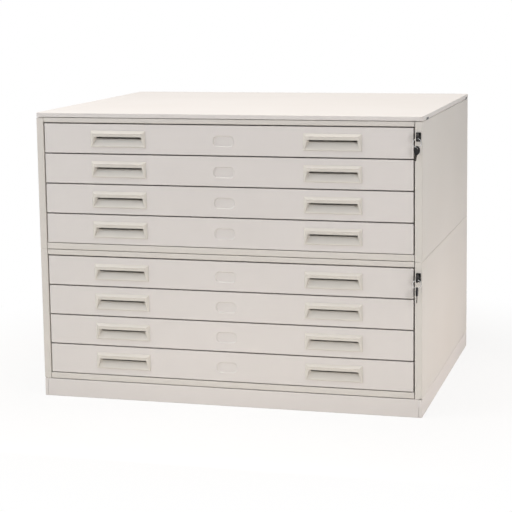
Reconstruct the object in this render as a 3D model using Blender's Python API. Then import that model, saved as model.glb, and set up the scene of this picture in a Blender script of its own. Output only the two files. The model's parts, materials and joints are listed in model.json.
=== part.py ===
"""Flat file cabinet: two stacked four-drawer units on a plinth, under a lid cap.

Lengths are in metres, +Z is up, the drawers open towards -Y and the origin lies on the floor
under the middle of the whole cabinet. Folded sheet steel makes the case, the drawers and the
slides. Each unit has a key lock in its right post that lifts and lowers a bar, whose fingers
drop in front of a catch on every drawer of the unit.
"""

import math

import bmesh
import bpy
from mathutils import Matrix, Vector

# Whole cabinet
WIDTH = 1.1
DEPTH = 0.86
PLINTH_HEIGHT = 0.051
UNIT_HEIGHT = 0.3775
UNIT_NAMES = ("lower", "upper")
DRAWERS_PER_UNIT = 4

# Clearance between pieces that touch
SEAM = 0.0003

# Sheet steel of the case
CASE_GAUGE = 0.0012
BEND = 0.0010
BEND_STEPS = 2
POST_WIDTH = 0.0205
POST_RETURN = 0.020
SIDE_FLANGE = 0.015
BOTTOM_RAIL = 0.019
TOP_RAIL = 0.0165
RAIL_FLANGE = 0.016
BACK_FLANGE = 0.014

# Lid cap
LID_HEIGHT = 0.0125
LID_OVERHANG = 0.0014
LID_GAUGE = 0.0015
LID_EDGE_RADIUS = 0.003
LID_FLANGE = 0.022

# Plinth
PLINTH_GAUGE = 0.0018
PLINTH_FLANGE = 0.026

# Drawer fronts
DRAWER_GAP = 0.0023
SIDE_GAP = 0.0011
FRONT_GAUGE = 0.0012
FRONT_DEPTH = 0.018
FRONT_EDGE_RADIUS = 0.0012
LABEL_WIDTH = 0.059
LABEL_HEIGHT = 0.028
LABEL_CORNER = 0.010
LABEL_DROP = 0.002
LABEL_DEPTH = 0.0007
LABEL_SLOPE = 0.0012
LABEL_STEPS = 3

# Pull handles
HANDLE_WIDTH = 0.162
HANDLE_HEIGHT = 0.047
HANDLE_OFFSET = 0.306
HOOD_REACH = 0.0075
HOOD_DROP = 0.0105
HOOD_INSET = 0.0092
LIP_HEIGHT = 0.0070
LIP_THICKNESS = 0.0025
RIM_HEIGHT = 0.0040
RIM_REACH = 0.0016
RIM_INSET = 0.0020
CUP_DEPTH = 0.014
CUP_WALL = 0.0018
CUP_LEDGE = 0.0085
CUP_TOP_RISE = 0.0050
CUP_SIDE = 0.0050
CUP_NARROWING = 0.0075
CUP_DEEP_NARROWING = 0.0060
HANDLE_ROUNDING = 0.0008

# Drawer trays
TRAY_GAUGE = 0.0012
TRAY_FOOT = 0.006
TRAY_HEIGHT = 0.064
TRAY_HEM = 0.008
TRAY_BACK_ROOM = 0.022
HOOD_DEPTH = 0.12

# Two-section slides
SLIDE_THICKNESS = 0.0125
SLIDE_HEIGHT = 0.045
SLIDE_GAUGE = 0.0012
SLIDE_LIP = 0.0040
SLIDE_LEVEL = 0.030
SLIDE_BEND = 0.0006
SLIDE_BEND_STEPS = 1
SLIDE_START = 0.0265
SLIDE_BACK_ROOM = 0.014
RUNNER_BRIM = 0.0038
RUNNER_CLEARANCE = 0.0004
FUSED_DEPTH = 0.0002

# Uprights that carry the outer slide members
UPRIGHT_DEPTH = 0.025
UPRIGHT_START = 0.0244
UPRIGHT_REAR_ROOM = 0.060

# Lock
LOCK_INSET = 0.0107
LOCK_DROP = 0.0415
LOCK_FLANGE_RADIUS = 0.0085
LOCK_FLANGE = 0.0020
LOCK_BODY_RADIUS = 0.0065
LOCK_LENGTH = 0.0165
PLUG_RADIUS = 0.0045
PLUG_RECESS = 0.0004
CAM_RADIUS = 0.0060
CAM_HUB_RADIUS = 0.0052
CAM_THICKNESS = 0.0022
CAM_PIN_RADIUS = 0.0015
CAM_BOSS_RADIUS = 0.0022
CAM_REST_ANGLE = math.radians(135)
KEY_TURN = math.radians(90)
ROUND_STEPS = 16

# Lock bar, its studs, fingers and the catches on the drawers
BAR_THICKNESS = 0.0020
BAR_INNER_EDGE = 0.0203
BAR_WIDTH = 0.0160
BAR_ENDS = 0.016
BAR_SLOT_PLAY = 0.0005
STUD_RADIUS = 0.0025
STUD_HEAD_RADIUS = 0.0042
STUD_HEAD = 0.0010
STUD_FROM_BAR_EDGE = 0.008
STUD_SHARES = (0.2, 0.7)
FINGER_REACH = 0.0100
FINGER_HEIGHT = 0.0080
FINGER_LEVEL = 0.0695
CATCH_LEVEL = 0.0570
CATCH_HEIGHT = 0.0100
CATCH_REACH = 0.0102
CATCH_THICKNESS = 0.0020
CATCH_SLACK = 0.0025

# Key, spare key and ring
KEY_STANDOFF = 0.0035
BOW_RADIUS = 0.01135
BOW_LENGTH = 0.0240
BOW_THICKNESS = 0.0050
BOW_ROUNDING = 0.0010
BOW_NECK = 0.0090
BOW_STEPS = 16
KEY_HOLE_RADIUS = 0.0040
KEY_HOLE_INSET = 0.0058
BLADE_LENGTH = 0.0180
BLADE_WIDTH = 0.0070
BLADE_THICKNESS = 0.0020
BLADE_TIP = 0.0025
BLADE_NOTCH = 0.0009
BLADE_NOTCHES = 4
KEYWAY_PLAY = 0.0002
RING_RADIUS = 0.0115
RING_WIRE_RADIUS = 0.0007
RING_STEPS = 24
WIRE_STEPS = 6
# Turn of the ring about the upright line, turn of the spare key on it, and the spare's lean
KEY_ATTITUDES = {
    "lower": (math.radians(12), math.radians(-10), math.radians(-8)),
    "upper": (math.radians(20), math.radians(28), math.radians(14)),
}

# How far each cut runs past the solid that it cuts
OVERRUN = 0.002

# Places that follow from the sizes above
DRAWER_PITCH = (UNIT_HEIGHT - BOTTOM_RAIL - TOP_RAIL) / DRAWERS_PER_UNIT
FRONT_WIDTH = WIDTH - 2 * (POST_WIDTH + SIDE_GAP)
FRONT_HEIGHT = DRAWER_PITCH - DRAWER_GAP
SIDE_SKIN = WIDTH / 2 - CASE_GAUGE
POST_INNER = WIDTH / 2 - POST_WIDTH
SLIDE_OUTER = POST_INNER - SEAM
SLIDE_INNER = SLIDE_OUTER - SLIDE_THICKNESS
TRAY_SIDE = SLIDE_INNER - 2 * SEAM
TRAY_START = FRONT_DEPTH + SEAM
TRAY_END = DEPTH - TRAY_BACK_ROOM
SLIDE_END = DEPTH - SLIDE_BACK_ROOM
LOCK_X = WIDTH / 2 - LOCK_INSET
LOCK_Z = UNIT_HEIGHT - LOCK_DROP
BAR_BACK = UPRIGHT_START - SEAM
BAR_FRONT = BAR_BACK - BAR_THICKNESS
BAR_LEFT = WIDTH / 2 - BAR_INNER_EDGE
KEY_HOLE_Y = -(KEY_STANDOFF + BOW_LENGTH - KEY_HOLE_INSET)
CASE_TOP = PLINTH_HEIGHT + len(UNIT_NAMES) * UNIT_HEIGHT


def finish(name, colour, roughness, metallic=0.0):
    """One Principled material: sheet paint, moulded plastic, zinc or spring steel."""
    made = bpy.data.materials.new(name)
    made.use_nodes = True
    shader = made.node_tree.nodes["Principled BSDF"]
    shader.inputs["Base Color"].default_value = (*colour, 1.0)
    shader.inputs["Roughness"].default_value = roughness
    shader.inputs["Metallic"].default_value = metallic
    made.diffuse_color = (*colour, 1.0)
    return made


def shape(name, bm):
    """Turn a bmesh into an object, with its faces pointing out."""
    bmesh.ops.recalc_face_normals(bm, faces=bm.faces)
    mesh = bpy.data.meshes.new(name)
    bm.to_mesh(mesh)
    bm.free()
    made = bpy.data.objects.new(name, mesh)
    bpy.context.scene.collection.objects.link(made)
    return made


def on_axis(axis, along, u, v):
    """A point at a distance along X, Y or Z, and at u, v on the other two axes in order."""
    return {"X": (along, u, v), "Y": (u, along, v), "Z": (u, v, along)}[axis]


def add_prism(bm, outline, axis, start, end):
    """Draw a closed outline out along an axis, from start to end."""
    corners = [bm.verts.new(on_axis(axis, start, u, v)) for u, v in outline]
    face = bm.faces.new(corners)
    grown = bmesh.ops.extrude_face_region(bm, geom=[face])["geom"]
    moved = [item for item in grown if isinstance(item, bmesh.types.BMVert)]
    bmesh.ops.translate(bm, verts=moved, vec=on_axis(axis, end - start, 0, 0))


def prism(outline, axis, start, end, name="piece"):
    bm = bmesh.new()
    add_prism(bm, outline, axis, start, end)
    return shape(name, bm)


def block(low, high, name="piece"):
    """A box between two opposite corners."""
    size = Vector(high) - Vector(low)
    middle = (Vector(high) + Vector(low)) / 2
    bm = bmesh.new()
    place = Matrix.Translation(middle) @ Matrix.Diagonal((*size, 1))
    bmesh.ops.create_cube(bm, size=1, matrix=place)
    return shape(name, bm)


def rod(radius, start, end, x=0.0, z=0.0, steps=ROUND_STEPS, name="piece"):
    """A round bar along Y."""
    bm = bmesh.new()
    place = Matrix.Translation((x, (start + end) / 2, z)) @ Matrix.Rotation(math.pi / 2, 4, "X")
    bmesh.ops.create_cone(
        bm, cap_ends=True, segments=steps, radius1=radius, radius2=radius, depth=end - start, matrix=place
    )
    return shape(name, bm)


def folded(path, gauge, bend=BEND, steps=BEND_STEPS):
    """Outline of a folded sheet whose middle line follows the path, each corner bent round."""
    points = [Vector(point) for point in path]
    radius = bend + gauge / 2

    def left_of(direction):
        return Vector((-direction.y, direction.x))

    line = [(points[0], left_of((points[1] - points[0]).normalized()))]
    for before, corner, after in zip(points, points[1:], points[2:]):
        come = (corner - before).normalized()
        go = (after - corner).normalized()
        turn = math.atan2(come.x * go.y - come.y * go.x, come.dot(go))
        side = math.copysign(1, turn)
        start = corner - come * radius * math.tan(abs(turn) / 2)
        centre = start + left_of(come) * radius * side
        for step in range(steps + 1):
            normal = Matrix.Rotation(turn * step / steps, 2) @ left_of(come)
            line.append((centre - normal * radius * side, normal))
    line.append((points[-1], left_of((points[-1] - points[-2]).normalized())))
    left = [point + normal * gauge / 2 for point, normal in line]
    right = [point - normal * gauge / 2 for point, normal in line]
    return left + right[::-1]


def rounded_rectangle(width, height, corner, steps):
    """Outline of a rectangle with round corners, about its own middle."""
    outline = []
    for quarter, (sx, sz) in enumerate(((1, 1), (-1, 1), (-1, -1), (1, -1))):
        for step in range(steps + 1):
            angle = math.pi / 2 * (quarter + step / steps)
            x = sx * (width / 2 - corner) + corner * math.cos(angle)
            z = sz * (height / 2 - corner) + corner * math.sin(angle)
            outline.append((x, z))
    return outline


def combined(base, operation, others):
    """Boolean the other solids into or out of the base, and keep only the result."""
    for other in others:
        modifier = base.modifiers.new(operation.lower(), "BOOLEAN")
        modifier.operation = operation
        modifier.object = other
    settle(base)
    for other in others:
        bpy.data.objects.remove(other)
    return base


def settle(base):
    """Replace an object's mesh by what its modifiers make of it."""
    graph = bpy.context.evaluated_depsgraph_get()
    mesh = bpy.data.meshes.new_from_object(base.evaluated_get(graph))
    base.modifiers.clear()
    base.data = mesh


def joined(base, *others):
    return combined(base, "UNION", others)


def cut(base, *others):
    return combined(base, "DIFFERENCE", others)


def rounded(base, width, segments=1, angle=math.radians(30)):
    """Round every edge sharper than the angle."""
    bevel = base.modifiers.new("round", "BEVEL")
    bevel.width = width
    bevel.segments = segments
    bevel.limit_method = "ANGLE"
    bevel.angle_limit = angle
    settle(base)
    return base


def flip_side(base):
    """Mirror a piece from the right side of the cabinet to the left."""
    bm = bmesh.new()
    bm.from_mesh(base.data)
    bmesh.ops.scale(bm, vec=(-1, 1, 1), verts=bm.verts)
    bmesh.ops.reverse_faces(bm, faces=bm.faces)
    mesh = bpy.data.meshes.new(base.name)
    bm.to_mesh(mesh)
    bm.free()
    base.data = mesh
    return base


def place(pattern, name, material, at, parent=None):
    """Put a named copy of a pattern in the cabinet. Copies share the pattern's mesh."""
    made = bpy.data.objects.new(name, pattern.data)
    bpy.context.scene.collection.objects.link(made)
    if not made.data.materials:
        made.data.materials.append(material)
    made.parent = parent
    made.location = at
    return made


def axis_empty(name, at, parent=None):
    """An empty on a joint's axis, which the pieces of a moving body hang from."""
    made = bpy.data.objects.new(name, None)
    bpy.context.scene.collection.objects.link(made)
    made.empty_display_size = POST_WIDTH
    made.parent = parent
    made.location = at
    return made


def side_panel():
    """Right side: outer skin with its front post and rear return, and flanges top and bottom."""
    half = CASE_GAUGE / 2
    skin = WIDTH / 2 - half
    post = POST_INNER + half
    path = (
        (post, POST_RETURN),
        (post, half),
        (skin, half),
        (skin, DEPTH - half),
        (POST_INNER, DEPTH - half),
    )
    panel = prism(folded(path, CASE_GAUGE), "Z", 0, UNIT_HEIGHT, "side_panel")
    flanges = []
    for low in (0, UNIT_HEIGHT - CASE_GAUGE):
        corner = (WIDTH / 2 - SIDE_FLANGE, UPRIGHT_START, low)
        far = (SIDE_SKIN + half, DEPTH - CASE_GAUGE - BEND, low + CASE_GAUGE)
        flanges.append(block(corner, far))
    return joined(panel, *flanges)


def lock_side_panel():
    """The right side with the hole for the lock in its post."""
    hole = rod(LOCK_BODY_RADIUS + SEAM, -OVERRUN, CASE_GAUGE + OVERRUN, LOCK_X, LOCK_Z)
    return cut(side_panel(), hole)


def back_panel():
    """Back sheet inside the side returns, with flanges that stiffen its top and foot."""
    half = CASE_GAUGE / 2
    sheet = DEPTH - CASE_GAUGE - SEAM - half
    low = CASE_GAUGE + SEAM + half
    high = UNIT_HEIGHT - low
    flange = sheet - BACK_FLANGE
    path = ((flange, low), (sheet, low), (sheet, high), (flange, high))
    reach = WIDTH / 2 - SIDE_FLANGE - SEAM
    return prism(folded(path, CASE_GAUGE), "X", -reach, reach, "back_panel")


def base_panel():
    """Floor of a unit, folded up into the front rail between the posts."""
    half = CASE_GAUGE / 2
    floor = CASE_GAUGE + SEAM + half
    back = DEPTH - CASE_GAUGE - 2 * SEAM - CASE_GAUGE
    rail_path = (
        (UPRIGHT_START, floor),
        (half, floor),
        (half, BOTTOM_RAIL - half),
        (RAIL_FLANGE, BOTTOM_RAIL - half),
    )
    reach = POST_INNER - SEAM
    rail = prism(folded(rail_path, CASE_GAUGE), "X", -reach, reach, "base_panel")
    behind = back - BACK_FLANGE
    wide = SIDE_SKIN - SEAM
    start = POST_RETURN + SEAM
    sheet = block((-wide, start, floor - half), (wide, behind, floor + half))
    return joined(rail, sheet)


def top_rail():
    """Channel between the posts over the top drawer."""
    half = CASE_GAUGE / 2
    low = UNIT_HEIGHT - TOP_RAIL + half
    high = UNIT_HEIGHT - half
    path = ((RAIL_FLANGE, low), (half, low), (half, high), (RAIL_FLANGE + POST_RETURN, high))
    reach = POST_INNER - SEAM
    return prism(folded(path, CASE_GAUGE), "X", -reach, reach, "top_rail")


def slide_rack(with_studs):
    """Right rack: two uprights that carry one outer slide member for each drawer."""
    half = CASE_GAUGE / 2
    foot = 2 * CASE_GAUGE + 2 * SEAM
    head = UNIT_HEIGHT - CASE_GAUGE - SEAM
    web = SLIDE_OUTER - FUSED_DEPTH + half
    wall = SIDE_SKIN - SEAM
    rack = None
    rear = DEPTH - UPRIGHT_REAR_ROOM - UPRIGHT_DEPTH
    for start in (UPRIGHT_START, rear):
        front = start + half
        back = start + UPRIGHT_DEPTH - half
        path = ((wall, front), (web, front), (web, back), (wall, back))
        upright = prism(folded(path, CASE_GAUGE), "Z", foot, head, "slide_rack")
        rack = joined(rack, upright) if rack else upright
    channels = []
    thin = SLIDE_GAUGE / 2
    inner = SLIDE_INNER + thin
    outer = SLIDE_OUTER - thin
    tall = SLIDE_HEIGHT / 2 - thin
    for index in range(DRAWERS_PER_UNIT):
        level = drawer_level(index) + SLIDE_LEVEL
        path = (
            (inner, level + tall - SLIDE_LIP),
            (inner, level + tall),
            (outer, level + tall),
            (outer, level - tall),
            (inner, level - tall),
            (inner, level - tall + SLIDE_LIP),
        )
        outline = folded(path, SLIDE_GAUGE, SLIDE_BEND, SLIDE_BEND_STEPS)
        channels.append(prism(outline, "Y", SLIDE_START, SLIDE_END))
    rack = joined(rack, *channels)
    if with_studs:
        neck = BAR_FRONT - SEAM
        for level in stud_levels():
            shank = rod(STUD_RADIUS, neck - STUD_HEAD / 2, UPRIGHT_START + half, stud_x(), level)
            head_disc = rod(STUD_HEAD_RADIUS, neck - STUD_HEAD, neck, stud_x(), level)
            rack = joined(rack, shank, head_disc)
    return rack


def drawer_level(index):
    """Height of a drawer's lower front edge above the foot of its unit."""
    return BOTTOM_RAIL + DRAWER_GAP / 2 + index * DRAWER_PITCH


def stud_x():
    return BAR_LEFT + STUD_FROM_BAR_EDGE


def bar_ends():
    """Lowest and highest point of the lock bar, unlocked."""
    low = drawer_level(0) + FINGER_LEVEL - BAR_ENDS
    high = drawer_level(DRAWERS_PER_UNIT - 1) + FINGER_LEVEL + FINGER_HEIGHT
    return low, high


def stud_levels():
    low, high = bar_ends()
    return [low + share * (high - low) for share in STUD_SHARES]


def bar_travel():
    """Drop of the cam pin, and so of the bar, when the key makes its turn."""
    return CAM_RADIUS * (math.sin(CAM_REST_ANGLE) - math.sin(CAM_REST_ANGLE + KEY_TURN))


def lid_cap():
    """Shallow pan upside down, with flanges turned in at its lower edge."""
    half_x = WIDTH / 2 + LID_OVERHANG
    front = -LID_OVERHANG
    back = DEPTH + LID_OVERHANG
    base = SEAM
    pan = rounded_lid(half_x, front, back, base)
    gauge = LID_GAUGE
    hollow = block(
        (-half_x + gauge, front + gauge, base + gauge),
        (half_x - gauge, back - gauge, LID_HEIGHT - gauge),
    )
    flange = gauge + LID_FLANGE
    mouth = block(
        (-half_x + flange, front + flange, -OVERRUN),
        (half_x - flange, back - flange, LID_HEIGHT / 2),
    )
    return cut(pan, joined(hollow, mouth))


def rounded_lid(half_x, front, back, base):
    """The lid's outer form: its upper edges and upright corners are rounded."""
    pan = block((-half_x, front, base), (half_x, back, LID_HEIGHT), "lid_cap")
    bm = bmesh.new()
    bm.from_mesh(pan.data)
    edges = []
    for edge in bm.edges:
        if max(vertex.co.z for vertex in edge.verts) > LID_HEIGHT - SEAM:
            edges.append(edge)
    bmesh.ops.bevel(
        bm, geom=edges, offset=LID_EDGE_RADIUS, segments=BEND_STEPS, profile=0.5, affect="EDGES", material=-1
    )
    bm.to_mesh(pan.data)
    bm.free()
    return pan


def plinth():
    """Welded base frame of folded channel, its flanges turned in at the floor and the top."""
    high = PLINTH_HEIGHT - SEAM
    frame = block((-WIDTH / 2, 0, 0), (WIDTH / 2, DEPTH, high), "plinth")
    gauge = PLINTH_GAUGE
    flange = PLINTH_FLANGE
    hollow = block((-WIDTH / 2 + gauge, gauge, gauge), (WIDTH / 2 - gauge, DEPTH - gauge, high - gauge))
    mouth = block(
        (-WIDTH / 2 + flange, flange, -OVERRUN), (WIDTH / 2 - flange, DEPTH - flange, high + OVERRUN)
    )
    return cut(frame, joined(hollow, mouth))


def drawer_front():
    """Folded front pan with two handle openings and a pressed label field."""
    half_x = FRONT_WIDTH / 2
    gauge = FRONT_GAUGE
    front = block((-half_x, 0, 0), (half_x, FRONT_DEPTH, FRONT_HEIGHT), "drawer_front")
    front = rounded_front(front)
    hollow = block((-half_x + gauge, gauge, gauge), (half_x - gauge, FRONT_DEPTH + OVERRUN, FRONT_HEIGHT - gauge))
    middle = FRONT_HEIGHT / 2 - LABEL_DROP
    label = rounded_rectangle(LABEL_WIDTH, LABEL_HEIGHT, LABEL_CORNER, LABEL_STEPS)
    field = pressed_field(label, middle)
    openings = [handle_opening(side * HANDLE_OFFSET) for side in (-1, 1)]
    return cut(front, hollow, field, *openings)


def rounded_front(front):
    """Bend the four edges of the front's face round."""
    bm = bmesh.new()
    bm.from_mesh(front.data)
    edges = []
    for edge in bm.edges:
        if max(vertex.co.y for vertex in edge.verts) < SEAM:
            edges.append(edge)
    bmesh.ops.bevel(
        bm, geom=edges, offset=FRONT_EDGE_RADIUS, segments=2, profile=0.5, affect="EDGES", material=-1
    )
    bm.to_mesh(front.data)
    bm.free()
    return front


def pressed_field(outline, level):
    """The space above a shallow pressing: its wall slopes in to a flat floor."""
    bm = bmesh.new()
    grow = 1 + 2 * LABEL_SLOPE / LABEL_HEIGHT
    rings = []
    for y, share in ((-OVERRUN, grow), (0, grow), (LABEL_DEPTH, 1)):
        rings.append([bm.verts.new((x * share, y, level + z * share)) for x, z in outline])
    for near, far in zip(rings, rings[1:]):
        for index in range(len(outline)):
            after = (index + 1) % len(outline)
            bm.faces.new((near[index], near[after], far[after], far[index]))
    bm.faces.new(rings[0])
    bm.faces.new(rings[-1][::-1])
    return shape("field", bm)


def handle_base():
    """Height of a handle's lower edge above the lower edge of its drawer front."""
    return (FRONT_HEIGHT - HANDLE_HEIGHT) / 2


def cup_outline(wall):
    """Section of the finger cup, as depth and height, grown by a wall."""
    lip_foot = HANDLE_HEIGHT - HOOD_DROP - LIP_HEIGHT
    cup_top = lip_foot + CUP_TOP_RISE + wall
    slope_foot = (-RIM_REACH, RIM_HEIGHT)
    slope_head = (CUP_DEPTH, RIM_HEIGHT + CUP_LEDGE + CUP_DEPTH)
    run = Vector(slope_head) - Vector(slope_foot)
    out = Vector((run.y, -run.x)).normalized() * wall
    foot = Vector(slope_foot) + out
    rise = run.y / run.x
    deep = CUP_DEPTH + wall
    return foot, (deep, foot.y + (deep - foot.x) * rise), (deep, cup_top), lip_foot


def cup_half_width(depth, height, wall):
    """Half width of the cup: it narrows evenly with height and with depth, so its sides are flat."""
    span = HANDLE_HEIGHT - HOOD_DROP - LIP_HEIGHT - RIM_HEIGHT
    narrowing = CUP_NARROWING * (height - RIM_HEIGHT) / span
    narrowing += CUP_DEEP_NARROWING * (depth + RIM_REACH) / (CUP_DEPTH + RIM_REACH)
    return HANDLE_WIDTH / 2 - CUP_SIDE - narrowing + wall


def tapered(outline, wall):
    """A solid whose section is drawn out both ways along X to the cup's half width."""
    bm = bmesh.new()
    ends = []
    for side in (-1, 1):
        ends.append([bm.verts.new((side * cup_half_width(y, z, wall), y, z)) for y, z in outline])
    left, right = ends
    for index in range(len(outline)):
        after = (index + 1) % len(outline)
        bm.faces.new((left[index], left[after], right[after], right[index]))
    bm.faces.new(left[::-1])
    bm.faces.new(right)
    return shape("taper", bm)


def handle_opening(x):
    """Opening in the drawer front that the finger cup passes through."""
    foot, slope_head, cup_top, _ = cup_outline(CUP_WALL)
    low = handle_base() + foot.y - SEAM
    high = handle_base() + cup_top[1] + SEAM
    reach = cup_half_width(0, RIM_HEIGHT, CUP_WALL) + SEAM
    return block((x - reach, -OVERRUN, low), (x + reach, FRONT_GAUGE + OVERRUN, high))


def handle():
    """Moulded pull: a hooded frame outside the front and a finger cup behind it."""
    half = HANDLE_WIDTH / 2
    seat = -SEAM
    lip_top = HANDLE_HEIGHT - HOOD_DROP
    lip_foot = lip_top - LIP_HEIGHT
    corners = []
    for side in (-1, 1):
        corners.append((side * half, seat, 0))
        corners.append((side * half, seat, HANDLE_HEIGHT))
        corners.append((side * (half - HOOD_INSET), -HOOD_REACH, lip_top))
        corners.append((side * (half - HOOD_INSET), -HOOD_REACH, lip_foot))
        corners.append((side * (half - RIM_INSET), -RIM_REACH, RIM_INSET))
    bm = bmesh.new()
    points = [bm.verts.new(corner) for corner in corners]
    bmesh.ops.convex_hull(bm, input=points)
    bmesh.ops.dissolve_limit(bm, angle_limit=math.radians(1), verts=bm.verts, edges=bm.edges)
    hood = rounded(shape("handle", bm), HANDLE_ROUNDING, 2)

    foot, slope_head, cup_top, _ = cup_outline(CUP_WALL)
    sunk = seat - RIM_REACH / 2
    body = tapered(((sunk, foot.y), (foot.x, foot.y), slope_head, cup_top, (sunk, cup_top[1])), CUP_WALL)

    foot, slope_head, cup_top, lip_foot = cup_outline(0)
    lip_back = -HOOD_REACH + LIP_THICKNESS
    outside = -HOOD_REACH - OVERRUN
    hollow = tapered(
        (
            (outside, foot.y),
            (foot.x, foot.y),
            slope_head,
            cup_top,
            (lip_back, cup_top[1]),
            (lip_back, lip_foot),
            (outside, lip_foot),
        ),
        0,
    )
    return cut(joined(hood, body), hollow)


def tray():
    """Drawer tray with its rear hood, runners and lock catch, in the front's own frame."""
    half = TRAY_GAUGE / 2
    side = TRAY_SIDE - half
    floor = TRAY_FOOT + half
    rim = TRAY_FOOT + TRAY_HEIGHT - half
    path = (
        (-side + TRAY_HEM, rim),
        (-side, rim),
        (-side, floor),
        (side, floor),
        (side, rim),
        (side - TRAY_HEM, rim),
    )
    body = prism(folded(path, TRAY_GAUGE), "Y", TRAY_START + half, TRAY_END, "tray")
    reach = FRONT_WIDTH / 2 - SEAM
    start = TRAY_START
    walls = [block((-reach, start, SEAM), (reach, start + TRAY_GAUGE, FRONT_HEIGHT - SEAM))]
    start = TRAY_END - FUSED_DEPTH - TRAY_GAUGE
    walls.append(block((-side, start, floor), (side, start + TRAY_GAUGE, rim)))
    thin = half - FUSED_DEPTH
    walls.append(block((-side, TRAY_END - HOOD_DEPTH, rim - thin), (side, TRAY_END - TRAY_GAUGE, rim + thin)))
    runners = [runner(sign) for sign in (-1, 1)]
    return joined(body, *walls, *runners, catch())


def runner(sign):
    """Inner slide member: a hat section whose brims run in the corners of the outer member."""
    thin = SLIDE_GAUGE / 2
    root = TRAY_SIDE - FUSED_DEPTH + thin
    tip = SLIDE_OUTER - SLIDE_GAUGE - RUNNER_CLEARANCE - thin
    brim = SLIDE_HEIGHT / 2 - SLIDE_GAUGE - RUNNER_CLEARANCE
    leg = SLIDE_HEIGHT / 2 - SLIDE_GAUGE - SLIDE_LIP - RUNNER_BRIM / 2
    path = (
        (tip, SLIDE_LEVEL + brim),
        (tip, SLIDE_LEVEL + leg),
        (root, SLIDE_LEVEL + leg),
        (root, SLIDE_LEVEL - leg),
        (tip, SLIDE_LEVEL - leg),
        (tip, SLIDE_LEVEL - brim),
    )
    path = [(sign * x, z) for x, z in path]
    start = TRAY_START + TRAY_GAUGE / 2
    outline = folded(path, SLIDE_GAUGE, SLIDE_BEND, SLIDE_BEND_STEPS)
    return prism(outline, "Y", start, TRAY_END - TRAY_GAUGE)


def catch():
    """Tab on the tray's right side that the lock bar's finger drops in front of."""
    start = BAR_BACK + CATCH_SLACK
    low = (TRAY_SIDE - TRAY_GAUGE / 2, start, CATCH_LEVEL)
    high = (TRAY_SIDE + CATCH_REACH, start + CATCH_THICKNESS, CATCH_LEVEL + CATCH_HEIGHT)
    return block(low, high)


def lock_housing():
    """Zinc cylinder through the post, with its flange outside and its bore for the plug."""
    body = rod(LOCK_BODY_RADIUS, -SEAM - LOCK_FLANGE / 2, LOCK_LENGTH, name="lock_housing")
    flange = rounded(rod(LOCK_FLANGE_RADIUS, -SEAM - LOCK_FLANGE, -SEAM), LOCK_FLANGE / 3)
    bore = rod(PLUG_RADIUS + SEAM, -LOCK_FLANGE - OVERRUN, LOCK_LENGTH + OVERRUN)
    return cut(joined(body, flange), bore)


def lock_plug():
    """Turning plug with the keyway in front and the cam and its pin behind."""
    face = -SEAM - LOCK_FLANGE + PLUG_RECESS
    cam_start = LOCK_LENGTH + SEAM
    cam_end = cam_start + CAM_THICKNESS
    plug = rod(PLUG_RADIUS, face, cam_end - CAM_THICKNESS / 2, name="lock_plug")
    hub = rod(CAM_HUB_RADIUS, cam_start, cam_end)
    pin_x = CAM_RADIUS * math.cos(CAM_REST_ANGLE)
    pin_z = CAM_RADIUS * math.sin(CAM_REST_ANGLE)
    boss = rod(CAM_BOSS_RADIUS, cam_start, cam_end, pin_x, pin_z)
    pin = rod(CAM_PIN_RADIUS, cam_end - CAM_THICKNESS / 2, BAR_BACK - SEAM, pin_x, pin_z)
    wide = BLADE_THICKNESS / 2 + KEYWAY_PLAY
    tall = BLADE_WIDTH / 2 + KEYWAY_PLAY
    depth = BLADE_LENGTH - KEY_STANDOFF + 2 * SEAM
    keyway = block((-wide, face - OVERRUN, -tall), (wide, depth, tall))
    return cut(joined(plug, hub, boss, pin), keyway)


def key():
    """Key along Y with its bow towards -Y: round bow, neck, and a notched flat blade."""
    far = -KEY_STANDOFF - BOW_LENGTH
    centre = far + BOW_RADIUS
    outline = [(-KEY_STANDOFF, -BOW_NECK / 2), (-KEY_STANDOFF, BOW_NECK / 2)]
    first = math.pi / 3
    for step in range(BOW_STEPS + 1):
        angle = first + (2 * math.pi - 2 * first) * step / BOW_STEPS
        outline.append((centre + BOW_RADIUS * math.cos(angle), BOW_RADIUS * math.sin(angle)))
    bow = prism(outline, "X", -BOW_THICKNESS / 2, BOW_THICKNESS / 2, "key")
    bow = rounded(bow, BOW_ROUNDING, 2, math.radians(50))
    bm = bmesh.new()
    turn = Matrix.Translation((0, KEY_HOLE_Y, 0)) @ Matrix.Rotation(math.pi / 2, 4, "Y")
    bmesh.ops.create_cone(
        bm,
        cap_ends=True,
        segments=BOW_STEPS,
        radius1=KEY_HOLE_RADIUS,
        radius2=KEY_HOLE_RADIUS,
        depth=BOW_THICKNESS + 2 * OVERRUN,
        matrix=turn,
    )
    hole = shape("hole", bm)
    half = BLADE_WIDTH / 2
    tip = BLADE_LENGTH - KEY_STANDOFF
    root = -KEY_STANDOFF - BOW_NECK / 2
    edge = [(root, half)]
    pitch = (BLADE_LENGTH - 2 * BLADE_TIP) / BLADE_NOTCHES
    for index in range(BLADE_NOTCHES):
        start = tip - BLADE_TIP - (BLADE_NOTCHES - index) * pitch
        edge.append((start + pitch / 4, half))
        edge.append((start + pitch / 2, half - BLADE_NOTCH))
        edge.append((start + pitch * 3 / 4, half))
    edge.append((tip - BLADE_TIP, half))
    edge.append((tip, half - BLADE_TIP))
    outline = edge + [(y, -z) for y, z in edge[::-1]]
    blade = prism(outline, "X", -BLADE_THICKNESS / 2, BLADE_THICKNESS / 2)
    return joined(cut(bow, hole), blade)


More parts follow.
